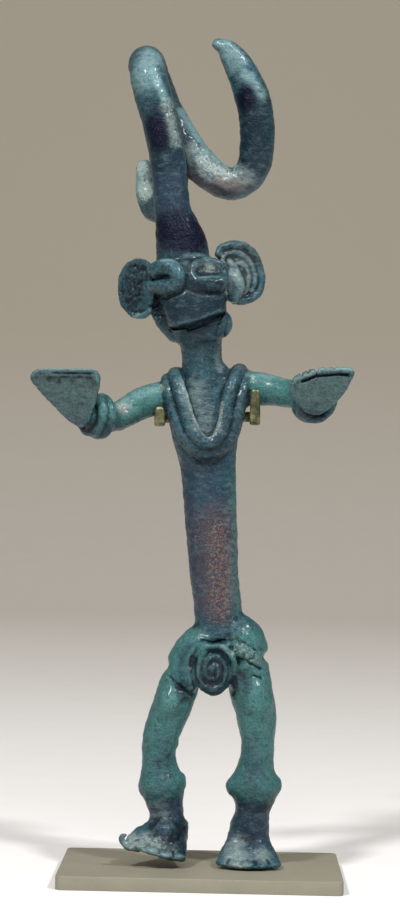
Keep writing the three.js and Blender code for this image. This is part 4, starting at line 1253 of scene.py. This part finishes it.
# The coats that have no polish are duller than the waxed skin, and hardly any wax lies on
# the bare dark spots and the painted shade, so that they stay dark.
DULLER = {
    "chalk": 0.35, "dust": 0.2, "palm_green": 0.2, "copper_specks": 0.15, "soil": 0.15, "dirt_and_shade": 0.3}
WAX = 0.24
WAX_LOST = -0.22
for name, duller in DULLER.items():
    dullness = add(patina, "ShaderNodeMath", {"operation": "MULTIPLY_ADD"},
                   {0: masks[name], 1: duller, 2: dullness})
wax = add(patina, "ShaderNodeMath", {"operation": "MULTIPLY_ADD"},
          {0: masks["black_patina_and_shade"], 1: WAX_LOST, 2: WAX})
relief = add(patina, "ShaderNodeMath", {"operation": "MULTIPLY_ADD"},
             {0: noises["wrinkles"], 1: 1.6, 2: noises["grains"]})
relief_bump = add(patina, "ShaderNodeBump", {},
                  {"Strength": 0.85, "Distance": 0.26 * MM, "Height": relief})
shader = add(patina, "ShaderNodeBsdfPrincipled", {}, {
    "Base Color": skin_colour, "Metallic": 0.12, "Roughness": dullness, "Normal": relief_bump,
    "Specular IOR Level": 0.14, "Coat Weight": wax, "Coat Roughness": 0.2})
add(patina, "ShaderNodeOutputMaterial", {}, {"Surface": shader})
body.materials.append(patina)
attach(figure, "root")
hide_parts("figurine")

# Studio: a plain pale sweep of paper, curved up behind and warmer grey higher up, soft
# lights from above on both sides and in front, and a faint warm wash on the sweep itself.
SWEEP_WIDTH, SWEEP_FRONT, SWEEP_BACK, SWEEP_HEIGHT = 6.0, -2.0, 2.4, 3.0
SWEEP_BEND = 1.2
SWEEP_NEAR = 0.01
FIBRES_PER_MM = 0.06
WARM_FROM, WARM_AT = 0, 0.25
bpy.ops.object.select_all(action="DESELECT")
bpy.ops.mesh.primitive_plane_add(size=1, location=(0, (SWEEP_FRONT + SWEEP_BACK) / 2, 0))
sweep = bpy.context.object
sweep.name = "pale_sweep"
sweep.scale = (SWEEP_WIDTH, SWEEP_BACK - SWEEP_FRONT, 1)
bpy.ops.object.transform_apply(location=True, rotation=True, scale=True)
edit_edges(sweep, lambda a, b: min(a.y, b.y) > SWEEP_BACK - SWEEP_NEAR)
bpy.ops.mesh.extrude_edges_move(TRANSFORM_OT_translate={"value": (0, 0, SWEEP_HEIGHT)})
edit_edges(sweep, lambda a, b: min(a.y, b.y) > SWEEP_BACK - SWEEP_NEAR and max(a.z, b.z) < SWEEP_NEAR)
bpy.ops.mesh.bevel(offset=SWEEP_BEND, segments=24, affect="EDGES")
bpy.ops.object.mode_set(mode="OBJECT")
bpy.ops.object.shade_smooth()
card = new_material("pale_matt_paper")
place = add(card, "ShaderNodeTexCoord", {}, {}, "Object")
fibre = add(card, "ShaderNodeTexNoise", {},
            {"Vector": place, "Scale": FIBRES_PER_MM / MM, "Detail": 6})
tone = add(card, "ShaderNodeMix", {"data_type": "RGBA"}, {0: fibre, 6: "#e3e0dd", 7: "#e8e5e2"}, 2)
height = add(card, "ShaderNodeSeparateXYZ", {}, {"Vector": place}, "Z")
rise = add(card, "ShaderNodeMapRange", {}, {"Value": height, 1: WARM_FROM, 2: WARM_AT, 3: 0, 4: 1})
graded = add(card, "ShaderNodeMix", {"data_type": "RGBA"}, {0: rise, 6: tone, 7: "#d3cdbf"}, 2)
shader = add(card, "ShaderNodeBsdfPrincipled", {}, {"Base Color": graded, "Roughness": 0.9})
add(card, "ShaderNodeOutputMaterial", {}, {"Surface": shader})
sweep.data.materials.append(card)

FIGURE_MIDDLE = (0, 0, 0.1)
LIGHTS = (
    # name, place, what it points at, size, watts, colour
    ("high_left", (-0.38, -0.6, 0.85), FIGURE_MIDDLE, 0.12, 8.6, "#fcfdff"),
    ("high_right", (0.45, -0.5, 0.75), FIGURE_MIDDLE, 0.10, 6.0, "#fcfdff"),
    ("high_front", (0.05, -0.9, 1.0), FIGURE_MIDDLE, 0.6, 3.4, "#fafcff"),
    ("back_wash", (0, 0.7, 1.3), (0, 2.2, 0.3), 0.8, 2.6, "#ffe6bf"),
)
for name, spot, aim, size, watts, colour in LIGHTS:
    lamp = bpy.data.lights.new(name, "AREA")
    lamp.shape = "DISK"
    lamp.size = size
    lamp.energy = watts
    lamp.color = linear(colour)[:3]
    holder = bpy.data.objects.new(name, lamp)
    bpy.context.scene.collection.objects.link(holder)
    holder.location = spot
    holder.rotation_euler = (Vector(aim) - Vector(spot)).to_track_quat("-Z", "Y").to_euler()
ROOM_STRENGTH = 0.36
world = bpy.data.worlds.new("soft_room")
bpy.context.scene.world = world
world.use_nodes = True
room = world.node_tree.nodes["Background"]
room.inputs["Color"].default_value = linear("#e4e3e0")
room.inputs["Strength"].default_value = ROOM_STRENGTH
bpy.context.scene.view_settings.view_transform = "Standard"

# Camera, fitted to the foot plate's corners: place in millimetres, angles in degrees, and
# the distance in pixels that one radian takes in a picture 921 pixels high.
CAMERA_PLACE = (5.581, -594.188, 92.524)
YAW, PITCH, ROLL = (math.radians(a) for a in (-0.732, 0.610, 1.123))
PIXELS_PER_RADIAN = 2503.08
PICTURE_HEIGHT = 921
FILM_WIDTH = 36
ahead = Vector((math.sin(YAW) * math.cos(PITCH), math.cos(YAW) * math.cos(PITCH), math.sin(PITCH)))
level = Vector((math.cos(YAW), -math.sin(YAW), 0))
above = level.cross(ahead)
right = math.cos(ROLL) * level + math.sin(ROLL) * above
up = -math.sin(ROLL) * level + math.cos(ROLL) * above
lens = bpy.data.cameras.new("camera")
lens.sensor_width = FILM_WIDTH
lens.lens = PIXELS_PER_RADIAN * FILM_WIDTH / PICTURE_HEIGHT
camera = bpy.data.objects.new("camera", lens)
bpy.context.scene.collection.objects.link(camera)
turn = Matrix((right, up, -ahead)).transposed().to_4x4()
camera.matrix_world = Matrix.Translation(Vector(CAMERA_PLACE) * MM) @ turn
bpy.context.scene.camera = camera
